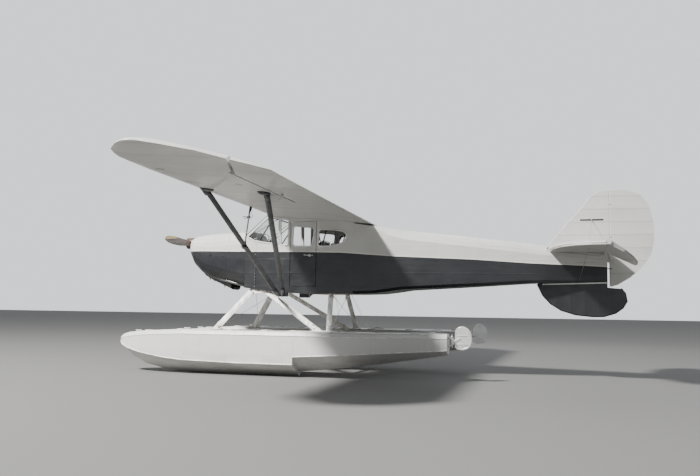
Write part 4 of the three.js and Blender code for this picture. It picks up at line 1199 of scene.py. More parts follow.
# crossed bracing wires between the two sides, each with a fork end and a turnbuckle
braces = []
for (headX, headZ), footX in (((1.375, 1.240), 0.925), ((2.640, 1.205), 2.735)):
    high, low = at(headX, -0.455, headZ), at(footX, 0.805, 0.672)
    shift = Vector((0.0045, 0, 0))
    way = (low - high).normalized()
    braces.append(rod("braceWire", high + shift, low + shift, gear["wireRadius"], 8))
    for end, turn in ((high, way), (low, -way)):
        eye = end + shift
        braces += [
            rod("braceFork", eye + turn * 0.002, eye + turn * 0.055, 0.0065, 12, round=0.0015),
            rod("braceBarrel", eye + turn * 0.070, eye + turn * 0.150, 0.0058, 12, tip=0.0045, round=0.001),
            ring("braceEye", eye, aftward, 0.009, 0.0035, 16, 8),
        ]
# the twin made by bothSides crosses this one, set apart from it by twice the shift
bothSides(braces, "braceWires", "steel", smooth=40)
for vertex in bpy.data.objects["braceWiresRight"].data.vertices:
    vertex.co.x -= 0.009

# spreader bar ends: a collar and bolts at each float's side
collars, bolts = [], []
for x in (0.906, 2.660):
    collars.append(
        sleeveOn("spreaderCollar", at(x, -0.730, 0.540), at(x, -0.680, 0.540), 0.5, 0.022, 0.102, 0.050, upward)
    )
    bolts += [(at(x + dx, -0.705, 0.5652), upward) for dx in (-0.018, 0.018)]
bothSides(collars, "spreaderCollars", "whiteTube", smooth=35)
sownPair("spreaderBolts", boltSeed("spreader"), bolts, "steel")


# ---- floats ----
floatPlan = {
    "centreY": 1.06,
    "front": ((-0.59, 0.06, 0.52, 0.44, 0.40), (-0.52, 0.13, 0.556, 0.40, 0.32), (-0.40, 0.195, 0.585, 0.355, 0.225),
              (-0.15, 0.258, 0.612, 0.295, 0.105), (0.25, 0.31, 0.636, 0.235, 0.022), (0.60, 0.332, 0.65, 0.205, 0.0),
              (1.50, 0.34, 0.65, 0.185, 0.0), (2.35, 0.338, 0.65, 0.185, 0.0)),
    "rear": ((2.31, 0.337, 0.65, 0.292, 0.062), (3.0, 0.322, 0.65, 0.330, 0.130), (3.8, 0.262, 0.65, 0.384, 0.245),
             (4.53, 0.14, 0.65, 0.430, 0.360)),
    "rivetPitch": 0.055,
    "framePitch": 0.47,
}


def floatRow(x):
    # half beam, deck, chine and keel of a float at a station
    rows = floatPlan["front"] if x <= 2.35 else floatPlan["rear"]
    for (x0, *a), (x1, *b) in zip(rows, rows[1:]):
        if x <= x1:
            t = max(0.0, (x - x0) / (x1 - x0))
            return [p + (q - p) * t for p, q in zip(a, b)]
    return list(rows[-1][1:])


def floatSide(x, share, lift=0.0):
    # a point on the outer side wall, share 0 at the chine and 1 under the deck's soft edge
    beam, deck, chine, keel = floatRow(x)
    soft = min(0.06, beam * 0.4)
    return at(x, -(floatPlan["centreY"] + beam + lift), chine + (deck - soft - chine) * share)


def onDeck(x, across, lift=0.0):
    return at(x, -(floatPlan["centreY"] + across), floatRow(x)[1] + lift)


def acrossFloat(point):
    # the same point on the other side of the float's own middle plane
    return Vector((point.x, -2 * floatPlan["centreY"] - point.y, point.z))


rivetPlaces = []
for x in steps(-0.45, 4.48, floatPlan["rivetPitch"]):
    beam, deck, chine, keel = floatRow(x)
    soft = min(0.06, beam * 0.4)
    for share in (0.06, 0.95):
        point = floatSide(x, share, 0.0002)
        rivetPlaces += [(point, toPort), (acrossFloat(point), toStarboard)]
    rivetPlaces += [(onDeck(x, side * (beam - soft - 0.014), 0.0002), upward) for side in (1, -1)]
for x in steps(-0.36, 4.34, floatPlan["framePitch"]):
    for share in steps(0.14, 0.86, 0.13):
        point = floatSide(x, share, 0.0002)
        rivetPlaces += [(point, toPort), (acrossFloat(point), toStarboard)]
    beam = floatRow(x)[0]
    for across in steps(-(beam - 0.09), beam - 0.09, 0.055):
        rivetPlaces.append((onDeck(x, across, 0.0002), upward))
sownPair("floatRivets", domeSeed("floatRivet"), rivetPlaces, "float")

# rubbing strips along chine, keel and deck edge
strips = []
foreStations, aftStations = (-0.59, -0.52, -0.40, -0.15, 0.25, 0.60, 1.50), (2.351, 3.0, 3.8, 4.53)
runs = (
    (0.0, 0.0075, (*foreStations, 2.349)),
    (1.0, 0.0055, (*foreStations, 2.349, *aftStations)),
    (0.0, 0.0065, aftStations),
)
for share, radius, stations in runs:
    path = [floatSide(x, share) for x in stations]
    strips += [tube("strip", path, radius, 8), tube("strip", [acrossFloat(p) for p in path], radius, 8)]
keelLine = [at(x, -floatPlan["centreY"], floatRow(x)[3] + 0.0085) for x in (*foreStations, 2.345)]
strips.append(tube("strip", keelLine, 0.0085, 8))
bothSides(strips, "floatStrips", "whiteTube", smooth=40)

# hand hole covers along the deck, each with a raised rim and a folding ring
covers = []
for x in (-0.13, 0.42, 1.25, 1.80, 2.25, 3.05, 3.55, 4.05):
    centre = onDeck(x, 0.0)
    covers += [
        rod("cover", centre + Vector((0, 0, 0.0005)), centre + Vector((0, 0, 0.007)), 0.058, 28, round=0.002),
        ring("coverRim", centre + Vector((0, 0, 0.004)), upward, 0.062, 0.0045, 28, 8),
        ring("coverPull", centre + Vector((0.012, 0, 0.0095)), upward, 0.017, 0.0022, 16, 8),
    ]
bothSides(covers, "handHoleCovers", "float")

# bow fender and cleats
fender = {"x": -0.545, "height": 0.492, "size": (0.085, 0.155, 0.105)}
letGo()
place = at(fender["x"], -floatPlan["centreY"], fender["height"])
bpy.ops.mesh.primitive_uv_sphere_add(segments=24, ring_count=14, radius=0.5, location=place)
bpy.context.object.scale = fender["size"]
bothSides(settle(bpy.context.object, "bowFender"), "bowFender", "rubber", smooth=60)


def cleat(x, across):
    foot = onDeck(x, across)
    bits = [block("cleatFoot", foot + Vector((-0.035, -0.012, 0.0005)), foot + Vector((0.035, 0.012, 0.006)), 0.002)]
    for end in (-1, 1):
        leg = foot + Vector((end * 0.018, 0, 0.004)), foot + Vector((end * 0.021, 0, 0.019))
        bits.append(rod("cleatLeg", *leg, 0.0048, 10))
    horn = [
        foot + Vector((dx, 0, dz))
        for dx, dz in ((-0.050, 0.023), (-0.026, 0.020), (0.026, 0.020), (0.050, 0.023))
    ]
    return bits + [tube("cleatHorn", horn, 0.0050, 12, soft=True)]


cleats = cleat(-0.32, 0.0) + cleat(0.62, 0.20) + cleat(2.95, 0.20) + cleat(4.30, 0.0)
bothSides(cleats, "deckCleats", "float", smooth=40)

# tread strips where people walk
treadStrips = {
    "runs": ((0.98, 1.18), (1.32, 1.73), (1.87, 2.18), (2.86, 2.98)), "across": (-0.16, -0.105, 0.105, 0.16)
}
treads = []
for x0, x1 in treadStrips["runs"]:
    for across in treadStrips["across"]:
        low = onDeck(x0, across) + Vector((0, -0.017, 0.0004))
        high = onDeck(x1, across) + Vector((0, 0.017, 0.0030))
        treads.append(block("tread", low, high, 0.0009, 1))
bothSides(treads, "deckTreads", "rubber")


# ---- water rudders ----
# station of the post, half length of the tiller and the blade's outline by station and height
waterRudder = {
    "post": 4.585, "tillerHalf": 0.085,
    "outline": [
        (4.650, 0.485), (4.650, 0.690), (4.672, 0.748), (4.735, 0.754), (4.805, 0.722), (4.838, 0.600), (4.805, 0.480),
        (4.735, 0.456), (4.672, 0.462)
    ],
}
postX, sideY = waterRudder["post"], -floatPlan["centreY"]
edgePath = [at(x, sideY, z) for x, z in rounded(waterRudder["outline"], 0.045, 4)]
bladeBits = [tube("bladeEdge", edgePath, 0.0045, 8, closed=True)]
for z in (0.520, 0.640):
    for y in (sideY - 0.0052, sideY + 0.0052):
        bladeBits.append(bar("bladeRib", at(4.660, y, z), at(4.800, y, z - 0.004), 0.016, 0.003, toStarboard, 0.001))
for y in (sideY - 0.0075, sideY + 0.0075):
    bladeBits.append(bar("bladeArm", at(4.612, y, 0.555), at(4.700, y, 0.600), 0.030, 0.004, toStarboard, 0.001))
bladeBits.append(
    rod("bladePivot", at(4.690, sideY - 0.016, 0.596), at(4.690, sideY + 0.016, 0.596), 0.007, 12, round=0.0012)
)
riders = ("water_rudder_left", "water_rudder_right")
bothSides(bladeBits, "waterBladeRibs", "blade", riders, smooth=35)
arm = waterRudder["tillerHalf"]
tiller = [bar("tiller", at(postX, sideY - arm, 0.5905), at(postX, sideY + arm, 0.5905), 0.022, 0.004, upward, 0.001)]
for y in (sideY - arm + 0.008, sideY + arm - 0.008):
    tiller.append(rod("tillerEye", at(postX, y, 0.588), at(postX, y, 0.602), 0.006, 10, round=0.001))
bothSides(tiller, "waterTiller", "steel", riders, smooth=35)

# brackets on the transom, fairleads on the deck and the steering cables that run forward to the fuselage
sternBits = []
for z in (0.4975, 0.6125):
    sternBits.append(
        block("transomPlate", at(4.5306, sideY - 0.035, z - 0.018), at(4.5350, sideY + 0.035, z + 0.018), 0.0012)
    )
    sternBits.append(ring("postCollar", at(postX, sideY, z + 0.0105), upward, 0.0135, 0.003, 18, 8))
sternBits.append(rod("postCap", at(postX, sideY, 0.640), at(postX, sideY, 0.650), 0.013, 14, round=0.002))
cables, tillerCables = [], []
for across in (-0.070, 0.070):
    lead, deckLead = at(4.430, sideY + across, 0.6505), at(2.905, sideY + 0.24 + across * 0.3, 0.6505)
    for foot, half, radius, thick in ((lead, 0.013, 0.0095, 0.0028), (deckLead, 0.012, 0.0085, 0.0026)):
        sternBits += [
            block("fairleadFoot", foot + Vector((-0.022, -half, 0)), foot + Vector((0.022, half, 0.004)), 0.001),
            ring("fairlead", foot + Vector((0, 0, 0.012)), aftward, radius, thick, 16, 8),
        ]
    start = lead + Vector((0.012, 0, 0.012))
    forward = [deckLead + Vector((0, 0, 0.012)), at(2.700, -0.46 + across * 0.3, 1.218)]
    cables.append(tube("steeringCable", [start] + forward, 0.0017, 6))
    eye = at(postX, sideY + across * 1.1, 0.6005)
    overStern = [at(x, eye.y, z) for x, z in ((4.500, 0.6590), (4.538, 0.6540), (4.548, 0.6440), (4.570, 0.6150))]
    tillerCables.append(tube("tillerCable", [start] + overStern + [eye], 0.0017, 6))
bendingCables(
    joined("tillerCable", tillerCables), "tillerCable", riders
)
bothSides(sternBits, "sternFittings", "steel", smooth=35)
bothSides(cables, "steeringCables", "steel", smooth=40)


# ---- engine cowl ----
# station, half width, bottom, top and squareness of each section
cowlRows = ((0.072, 0.150, 1.850, 2.085, 2.4), (0.084, 0.200, 1.800, 2.128, 2.4), (0.160, 0.258, 1.668, 2.162, 2.6),
            (0.300, 0.305, 1.545, 2.182, 2.9), (0.480, 0.340, 1.448, 2.196, 3.1), (0.700, 0.385, 1.388, 2.206, 3.5),
            (0.930, 0.440, 1.340, 2.210, 4.0), (1.185, 0.501, 1.300, 2.213, 4.8))
cowlLook = {
    "splitHeight": 1.872,
    "sideLatches": ((0.500, 0.545, 1.832), (0.745, 0.800, 1.812)),
    "topLatches": (0.30, 0.58, 0.866, 1.09),
    "seamStations": (0.152, 0.83),
    "seamWire": 0.0013,
}


def cowlSection(x):
    # the near half of the cowl's outline at a station, from the top down
    for low, high in zip(cowlRows, cowlRows[1:]):
        if x <= high[0]:
            break
    t = min(1.0, max(0.0, (x - low[0]) / (high[0] - low[0])))
    outline = []
    for i in range(7, 22):
        a = 2 * math.pi * i / 28
        point = Vector((0, 0))
        for (station, wide, bottom, top, power), weight in ((low, 1 - t), (high, t)):
            y, z = (math.copysign(abs(turn(a)) ** (2 / power), turn(a)) for turn in (math.cos, math.sin))
            point += weight * Vector((wide * y, (bottom + top) / 2 + (top - bottom) / 2 * z))
        outline.append(point)
    return outline


def cowlSide(x, z, lift=0.0):
    # the near side of the cowl at a height: the point and the way it faces
    outline = cowlSection(x)
    for upper, lower in zip(outline, outline[1:]):
        if lower.y <= z <= upper.y:
            t = (upper.y - z) / max(1e-6, upper.y - lower.y)
            run = (lower - upper).normalized()
            facing = Vector((0, run.y, -run.x)).normalized()
            if facing.y > 0:
                facing = -facing
            point = upper.lerp(lower, t)
            return at(x, point.x, point.y) + facing * lift, facing
    raise SystemExit("no cowl side at " + str((x, z)))


def cowlTop(x, y):
    # the point on top of the cowl at a distance from the middle plane
    outline = cowlSection(x)
    for inner, outer in zip(outline, outline[1:]):
        if outer.x <= y <= inner.x and inner.y > 1.95:
            t = (inner.x - y) / max(1e-6, inner.x - outer.x)
            return at(x, y, inner.lerp(outer, t).y)
    raise SystemExit("no cowl top at " + str((x, y)))


splitStations = (0.10, 0.13, 0.16, 0.23, 0.30, 0.39, 0.48, 0.59, 0.70, 0.82, 0.93, 1.06, 1.18)
splitLine = [cowlSide(x, cowlLook["splitHeight"], 0.0008)[0] for x in splitStations]
bothSides(tube("cowlHinge", splitLine, 0.003, 8), "cowlHinge", "strut")


def latchAt(low, high, facing, along):
    # a toggle latch: base plate, catch, lever and its pin
    pivot = low.lerp(high, 0.42)
    pin = pivot + facing * 0.003
    lever = low.lerp(high, 0.10) + facing * 0.004, low.lerp(high, 0.86) + facing * 0.005
    return [
        bar("latchPlate", low, pivot, 0.022, 0.003, facing, 0.0008),
        bar("latchCatch", low.lerp(high, 0.72), high, 0.018, 0.004, facing, 0.0008),
        bar("latchLever", *lever, 0.010, 0.003, facing, 0.0008),
        rod("latchPin", pin - along * 0.013, pin + along * 0.013, 0.0035, 10),
    ]


latches = []
for first, last, z in cowlLook["sideLatches"]:
    low, facing = cowlSide(first, z, 0.003)
    high = cowlSide(last, z, 0.003)[0]
    latches += latchAt(low, high, facing, facing.cross((high - low).normalized()))
for x in cowlLook["topLatches"]:
    low, facing = cowlSide(x, 2.060, 0.003)
    high = cowlSide(x, 2.115, 0.003)[0]
    latches += latchAt(low, high, facing, Vector(aftward))
bothSides(latches, "cowlLatches", "cowl", smooth=35)

# lapped panel edges round the cowl and along the top panel, with their rivets
edges, places = [], []
for x in cowlLook["seamStations"]:
    outline = cowlSection(x)
    path = [at(x, p.x, p.y) + Vector((0, p.x, p.y - 1.76)).normalized() * 0.0005 for p in outline]
    edges.append(tube("panelEdge", path, cowlLook["seamWire"], 8))
    for shift in (-0.014, 0.014):
        if not 0.10 < x + shift < 1.175:
            continue
        outline = cowlSection(x + shift)
        for a, b in zip(outline, outline[1:]):
            count = max(1, int((b - a).length / 0.045))
            for k in range(count):
                spot = a.lerp(b, (k + 0.5) / count)
                run = (b - a).normalized()
                facing = Vector((0, run.y, -run.x))
                facing = facing if facing.dot(Vector((0, spot.x, spot.y - 1.76))) > 0 else -facing
                places.append((at(x + shift, spot.x, spot.y) + facing * 0.0002, facing))
path = [cowlSide(x, 2.088, 0.0005)[0] for x in (0.10, 0.16, 0.23, 0.30, 0.48, 0.70, 0.93, 1.18)]
edges.append(tube("panelEdge", path, cowlLook["seamWire"], 8))
sownPair("cowlRivets", domeSeed("sheetRivet"), places, "cowl")
bothSides(edges, "cowlPanelEdges", "cowl", smooth=40)

# the side panel's lower edge turns out over a slot so that the engine bay can breathe; the slot is not cut, a black
# rubber tube below the lip is its painted shade
flare = {"line": ((0.80, 1.430), (0.93, 1.396), (1.06, 1.360), (1.18, 1.326)), "out": 0.011, "deep": 0.016}
flareTop, flareEdge, slotShadeLine = [], [], []
for x, z in flare["line"]:
    point, facing = cowlSide(x, z, 0.0008)
    flareTop.append(point)
    flareEdge.append(point + facing * flare["out"] + Vector((0, 0, -flare["deep"])))
    slotShadeLine.append(cowlSide(x, z - 0.018, 0.0)[0])
letGo()
bpy.ops.mesh.primitive_grid_add(x_subdivisions=3, y_subdivisions=2, size=1, location=(0, 0, 0))
lipSheet = settle(bpy.context.object, "flaredLip")
for vertex in lipSheet.data.vertices:
    along = int(round((vertex.co.x + 0.5) * 3))
    down = vertex.co.y + 0.5
    curl = Vector((0, 0, 0.006 * math.sin(math.pi * down)))
    vertex.co = flareTop[along].lerp(flareEdge[along], down) + curl
applied(lipSheet, "SUBSURF", levels=2, render_levels=2)
applied(lipSheet, "SOLIDIFY", thickness=0.0022, offset=0.0)
outwardAgain(lipSheet)
bothSides(lipSheet, "flaredLip", "cowl", smooth=50)
# painted shade: a black tube half sunk in the cowl where the slot under the lip would be dark
bothSides(tube("slotShadeTube", slotShadeLine, 0.0075, 8), "slotShadeTube", "rubber", smooth=50)

# drain and breather pipes under the chin
drains = []
for x, y, z, reach in ((0.385, -0.060, 1.478, 0.040), (0.455, -0.040, 1.440, 0.030), (0.665, -0.085, 1.352, 0.036)):
    drains.append(rod("drain", at(x - 0.006, y, z + 0.012), at(x + 0.012, y, z - reach), 0.0095, 14, round=0.002))
    drains.append(ring("drainCollar", at(x - 0.001, y, z - 0.004), (-0.3, 0, 1), 0.012, 0.003, 16, 8))
finishWhole("chinDrains", drains, "steel", 40)

# rolled edge round the mouth of the chin duct, clip round the exhaust pipe
mouth = {"x": 0.8305, "half": ((0.190, 1.420), (0.190, 1.318), (0.152, 1.286), (0.0855, 1.278))}
mouthPath = [at(mouth["x"], -y, z) for y, z in mouth["half"]]
mouthPath += [at(mouth["x"], y, z) for y, z in reversed(mouth["half"])]
finishWith(tube("chinMouthEdge", mouthPath, 0.0048, 10), "cowl", "airframe", smooth=50)
pipeWay = (1, 0, -0.42)
pipeClip = [
    ring("pipeClip", at(0.848, -0.050, 1.3115), pipeWay, 0.0285, 0.0028, 24, 8),
    ring("pipeBead", at(0.889, -0.050, 1.2945), pipeWay, 0.0262, 0.0026, 24, 8),
]
finishWhole("exhaustClip", pipeClip, "iron", 50)

# air inlet lip with its screen, on the near side of the nose
inlet = {"y": -0.085, "z": 1.905, "radius": 0.048, "x": 0.0715}
lip = ring("inletLip", at(inlet["x"], inlet["y"], inlet["z"]), (-1, 0, 0), inlet["radius"] + 0.002, 0.006, 32, 10)
finishWith(lip, "cowl", "airframe", smooth=60)
wires = []
for k in range(-4, 5):
    offset = k * 0.0105
    half = math.sqrt(max(0.0, inlet["radius"] ** 2 - offset ** 2)) - 0.001
    for a, b in (((0, offset, -half), (0, offset, half)), ((0.002, -half, offset), (0.002, half, offset))):
        centre = at(inlet["x"] + 0.007, inlet["y"], inlet["z"])
        wires.append(rod("wire", centre + Vector(a), centre + Vector(b), 0.0009, 6))
finishWhole("inletScreen", wires, "steel", 40)

# filler cap on top
filler = cowlTop(0.936, -0.02)
cap = [
    rod("fillerNeck", filler + Vector((0, 0, -0.004)), filler + Vector((0, 0, 0.012)), 0.034, 24, round=0.002),
    rod(
        "fillerCap", filler + Vector((0, 0, 0.011)), filler + Vector((0, 0, 0.024)), 0.029, 12, tip=0.026, round=0.003
    ),
    block("fillerTab", filler + Vector((-0.030, -0.005, 0.023)), filler + Vector((0.030, 0.005, 0.030)), 0.002),
]
finishWhole("fillerCap", cap, "brass", 35)


# ---- propeller ----
airscrew = {"hubHeight": 2.052, "frontFace": -0.0762, "boltCircle": 0.055, "bolts": 8}
hub = at(airscrew["frontFace"], 0, airscrew["hubHeight"])
places = []
for k in range(airscrew["bolts"]):
    turn = 2 * math.pi * k / airscrew["bolts"]
    places.append((hub + Vector((0, math.cos(turn), math.sin(turn))) * airscrew["boltCircle"], (-1, 0, 0)))
finishWith(sown("hubBolts", boltSeed("hub"), places), "steel", "propeller", smooth=35)
wirePath = []
for k in range(16):
    turn = 2 * math.pi * k / 16
    out = airscrew["boltCircle"] + (0.0085 if k % 2 else 0.0)
    wirePath.append(hub + Vector((-0.008, out * math.cos(turn), out * math.sin(turn))))
hubBits = [
    tube("lockWire", wirePath, 0.0011, 6, closed=True),
    rod("shaftNut", hub + Vector((0.001, 0, 0)), hub + Vector((-0.026, 0, 0)), 0.026, 8, round=0.003),
    rod("shaftEnd", hub + Vector((-0.024, 0, 0)), hub + Vector((-0.040, 0, 0)), 0.015, 18, tip=0.012, round=0.002),
    ring("hubRim", hub + Vector((0.001, 0, 0)), aftward, 0.0755, 0.0025, 36, 8),
]
finishWith(joined("hubNut", hubBits), "steel", "propeller", smooth=35)

# thin metal sheath along each blade's leading edge
for side, name in ((-1, "Near"), (1, "Far")):
    start = at(0, side * 0.45, airscrew["hubHeight"] - side * 0.052)
    cuts = [(start, (0, -side, 0)), (start, (0, 0.122, side))]
    sheath = bandOf("propeller", "bladeSheath" + name, cuts, 0.0005, 0.0007)
    finishWith(sheath, "brass", "propeller", smooth=40)


# ---- wing, door and tail fittings ----
def wingHeight(station, y, side=1):
    # a point on the near wing's skin; side 1 above, -1 below
    aft = station - wingForm["leadingEdge"]
    c = aft / wingForm["chord"]
    half = 0.6 * (0.2969 * math.sqrt(c) - 0.126 * c - 0.3516 * c ** 2 + 0.2843 * c ** 3 - 0.1036 * c ** 4)
    p = 0.4
    mean = 0.04 / p ** 2 * (2 * p * c - c * c) if c < p else 0.04 / (1 - p) ** 2 * (1 - 2 * p + 2 * p * c - c * c)
    body = (mean + side * half + side * 0.0025 + 0.032 * (1 - c)) * wingForm["chord"]
    line = wingForm["rootHeight"] - wingForm["incidence"] * aft
    return line + wingForm["dihedral"] * max(0.0, y - wingForm["rootY"]) + body


def onWing(station, y, side=1, lift=0.0):
    # the point and the way the skin faces there
    here = wingHeight(station, y, side)
    slope = (wingHeight(station + 0.004, y, side) - wingHeight(station - 0.004, y, side)) / 0.008
    facing = Vector((-slope, wingForm["dihedral"], 1)).normalized() * side
    return at(station, -y, here) + facing * lift, facing


# fairing strip over each wing root joint
for name, wing in (("Left", "wing_left"), ("Right", "wing_right")):
    side = -1 if name == "Left" else 1
    cuts = [((0, side * 0.612, 0), (0, side, 0)), ((at(2.70, 0, 0)), aftward)]
    rootStrip = bandOf(wing, "rootFairing" + name, cuts, 0.0007, 0.0006)
    dropFaces(rootStrip, lambda middle, normal: abs(normal.y) < 0.9 and abs(middle.y) > 0.5655)
    finishWith(rootStrip, "alloy", "airframe", smooth=40)
places = []
for station in steps(1.66, 2.66, 0.06):
    for side in (1, -1):
        places.append(onWing(station, 0.600, side, 0.0014))
sownPair("rootScrews", domeSeed("sheetRivet"), places, "steel")

# fuel caps on top, round inspection covers below, drain eyelets near the trailing edge
covers, eyelets = [], []
spot, facing = onWing(1.98, 0.86, 1, 0.0005)
caps = [
    rod("capBase", spot, spot + facing * 0.006, 0.052, 28, round=0.0015),
    rod("fuelCap", spot + facing * 0.005, spot + facing * 0.020, 0.034, 14, tip=0.031, round=0.003)
]
bothSides(caps, "fuelCaps", "brass", smooth=35)
for station, y in ((1.80, 1.18), (2.45, 1.18), (2.45, 2.20), (2.60, 2.95), (1.80, 3.62), (2.45, 3.62), (1.86, 4.40)):
    spot, facing = onWing(station, y, -1, -0.0002)
    covers.append(rod("inspectionCover", spot, spot + facing * 0.0022, 0.050, 28, round=0.0008))
    covers.append(ring("coverBead", spot + facing * 0.0018, facing, 0.050, 0.0016, 28, 6))
bothSides(covers, "inspectionCovers", "wing", smooth=35)
for y in steps(0.80, 2.20, 0.305):
    spot, facing = onWing(3.230, y, -1, 0.0)
    eyelets.append(ring("drainEyelet", spot, facing, 0.0075, 0.0022, 14, 6))
bothSides(eyelets, "drainEyelets", "brass", smooth=40)

# aileron horn under each wing
spot, facing = onWing(2.80, 3.10, -1, -0.002)
pin = spot + facing * 0.074
hornBits = [
    bar("aileronHorn", spot, spot + facing * 0.085 + Vector((-0.012, 0, 0)), 0.036, 0.004, toStarboard, 0.001),
    rod("hornPin", pin + Vector((-0.012, -0.008, 0)), pin + Vector((-0.012, 0.008, 0)), 0.0045, 10),
]
bothSides(hornBits, "aileronHorns", "steel", ("aileron_left", "aileron_right"), smooth=35)

# door handle and lock, hinge leaf screws
face = -(skinHalfWidth(2.246) + 0.0005)
grip = [at(2.306, face - 0.028, 1.800), at(2.262, face - 0.032, 1.803), at(2.215, face - 0.026, 1.808)]
doorBits = [
    rod("handleRose", at(2.300, face, 1.800), at(2.300, face - 0.006, 1.800), 0.020, 20, round=0.0015),
    rod("handleNeck", at(2.300, face - 0.005, 1.800), at(2.300, face - 0.028, 1.800), 0.0075, 14, round=0.001),
    tube("doorHandle", grip, 0.0068, 12, soft=True),
    rod("keyLock", at(2.344, face, 1.800), at(2.344, face - 0.005, 1.800), 0.010, 16, round=0.001),
]
bothSides(doorBits, "doorHandles", "steel", doors, smooth=40)
hinge = {"heights": (1.500, 2.180), "doorScrews": (1.998, 0.032), "wallScrews": (1.964, 0.010)}
for name, where, riders in (("Door", "doorScrews", doors), ("Wall", "wallScrews", None)):
    station, apart = hinge[where]
    places = [(at(station, -0.5706, z + dz), toPort) for z in hinge["heights"] for dz in (-apart, apart)]
    sownPair("hingeScrews" + name, domeSeed("hingeScrew"), places, "steel", riders)

# pressed edge strip round each door
doorEdge = [(1.9905, 1.3355), (1.9905, 2.3195), (2.3985, 2.3195), (2.3985, 1.3355)]
edgePath = [onNearSide(0.0006)(x, z, 0) for x, z in rounded(doorEdge, 0.012, 3)]
bothSides(tube("doorEdge", edgePath, 0.0022, 6, closed=True), "doorEdge", "sides", doors)

# tail: bracing wires, horns, cables and the strip along the ventral fin
braces = []
finHook, planeHook, bellyHook = at(6.490, -0.027, 2.340), at(6.430, -0.900, 1.921), at(6.300, -0.085, 1.440)
planeUnder = at(6.430, -0.900, 1.859)
for start, end in ((finHook, planeHook), (planeUnder, bellyHook)):
    way = (end - start).normalized()
    braces.append(rod("tailWire", start, end, 0.0026, 8))
    for point, turn in ((start, way), (end, -way)):
        braces.append(
            rod("tailWireEnd", point + turn * 0.002, point + turn * 0.045, 0.0055, 10, tip=0.004, round=0.001)
        )
        braces.append(ring("tailWireEye", point, aftward, 0.0065, 0.003, 14, 8))
bothSides(braces, "tailWires", "steel", smooth=40)
finBar = bar("finFitting", at(6.325, -0.0262, 2.340), at(6.655, -0.0262, 2.340), 0.024, 0.0028, toStarboard, 0.0008)
bothSides(finBar, "finFitting", "strut")
horn = bar("rudderHorn", at(6.775, -0.018, 1.700), at(6.752, -0.115, 1.700), 0.030, 0.004, upward, 0.001)
bothSides(horn, "rudderHorn", "steel", ("rudder", "rudder"))
cablePath = [at(6.748, -0.106, 1.7030)] + [
    at(x, -0.111 - 0.0285 * (6.60 - x) / 0.50, 1.704)
    for x in reversed(steps(6.10, 6.70, 0.06))
]
bendingCables(
    tube("rudderCable", cablePath, 0.0016, 6), "rudderCable", ("rudder", "rudder"),
)
grommet = ring("cableGrommet", at(6.12, -0.1385, 1.705), (0.1, -1, 0), 0.010, 0.004, 16, 8)
bothSides(grommet, "cableGrommet", "rubber", smooth=40)
hornRoot = at(6.662, -0.060, 1.890)
elevatorHorn = bar(
    "elevatorHorn", hornRoot + Vector((0.02, 0, -0.012)), hornRoot + Vector((-0.052, 0, -0.100)), 0.030, 0.004,
    toStarboard, 0.001
)
finishWith(elevatorHorn, "steel", "elevator", smooth=35)
ventralStrip = bar(
    "ventralStrip", at(5.780, -0.0225, 1.3885), at(6.690, -0.0225, 1.4150), 0.020, 0.003, toStarboard, 0.0008
)
bothSides(ventralStrip, "ventralStrip", "alloy")
ventralEdge = [
    (5.712, 1.395), (5.790, 1.230), (5.900, 1.110), (6.050, 1.015), (6.250, 0.955), (6.480, 0.932), (6.640, 0.935),
    (6.800, 0.985), (6.900, 1.060), (6.955, 1.150), (6.935, 1.260), (6.880, 1.330)
]
finishWith(tube("ventralEdge", [at(x, 0, z) for x, z in ventralEdge], 0.0205, 12), "darkCloth", "airframe", smooth=60)

# rounded edges of the fin and the tailplane
finEdge = [
    (5.850, 1.945), (6.140, 2.290), (6.290, 2.440), (6.470, 2.680), (6.560, 2.745), (6.660, 2.7655), (6.712, 2.7665)
]
finishWith(
    tube("finEdge", [at(x + 0.006, 0, z - 0.010) for x, z in finEdge], 0.0215, 12), "fin", "airframe", smooth=60
)
planeEdge = [(5.905, 0.35), (5.965, 0.76), (6.075, 1.12), (6.242, 1.362), (6.440, 1.471), (6.618, 1.497)]
edgePath = [at(x + 0.010, -y + 0.012, 1.890) for x, y in planeEdge]
bothSides(tube("tailplaneEdge", edgePath, 0.0272, 12), "tailplaneEdge", "tail", smooth=60)


# ---- cabin ----
cushionMake = {
    "voxel": 0.0075,
    "pressure": 4.0,
    "frames": 20,
    "cap": 0.024,
    "shrink": 0.010,
    "welt": 0.0038,
    "weltInset": 0.030,
    "seam": 0.0016,
}


def stuffed(name, size):
    # a pad about the origin: its shell is remeshed, blown up as cloth, held to a cap and smoothed
    depth, width, thick = (s - 2 * cushionMake["shrink"] for s in size)
    pad = block(
        name, (-depth / 2, -width / 2, -thick / 2), (depth / 2, width / 2, thick / 2), min(0.024, thick * 0.36), 3
    )
    applied(pad, "REMESH", mode="VOXEL", voxel_size=cushionMake["voxel"])
    start = [v.co.copy() for v in pad.data.vertices]
    cloth = pad.modifiers.new("Cloth", "CLOTH")
    cloth.settings.quality = 4
    cloth.settings.use_pressure = True
    cloth.settings.uniform_pressure_force = cushionMake["pressure"]
    cloth.settings.effector_weights.gravity = 0.0
    cloth.collision_settings.use_collision = False
    cloth.point_cache.frame_start = 1
    cloth.point_cache.frame_end = cushionMake["frames"]
    scene = bpy.context.scene
    for step in range(1, cushionMake["frames"] + 1):
        scene.frame_set(step)
    pickUp(pad)
    bpy.ops.object.modifier_apply(modifier=cloth.name)
    scene.frame_set(1)
    for vertex, before in zip(pad.data.vertices, start):
        moved = vertex.co - before
        if moved.length > cushionMake["cap"]:
            vertex.co = before + moved.normalized() * cushionMake["cap"]
    return applied(pad, "SUBSURF", levels=1, render_levels=1)


def onPad(pad, path, lift):
    # points dropped from above onto the pad's crown
    tree = BVHTree.FromObject(pad, bpy.context.evaluated_depsgraph_get())
    found = []
    for x, y in path:
        spot = tree.ray_cast(Vector((x, y, 0.3)), Vector((0, 0, -1)))[0]
        if spot is not None:
            found.append(spot + Vector((0, 0, lift)))
    return found


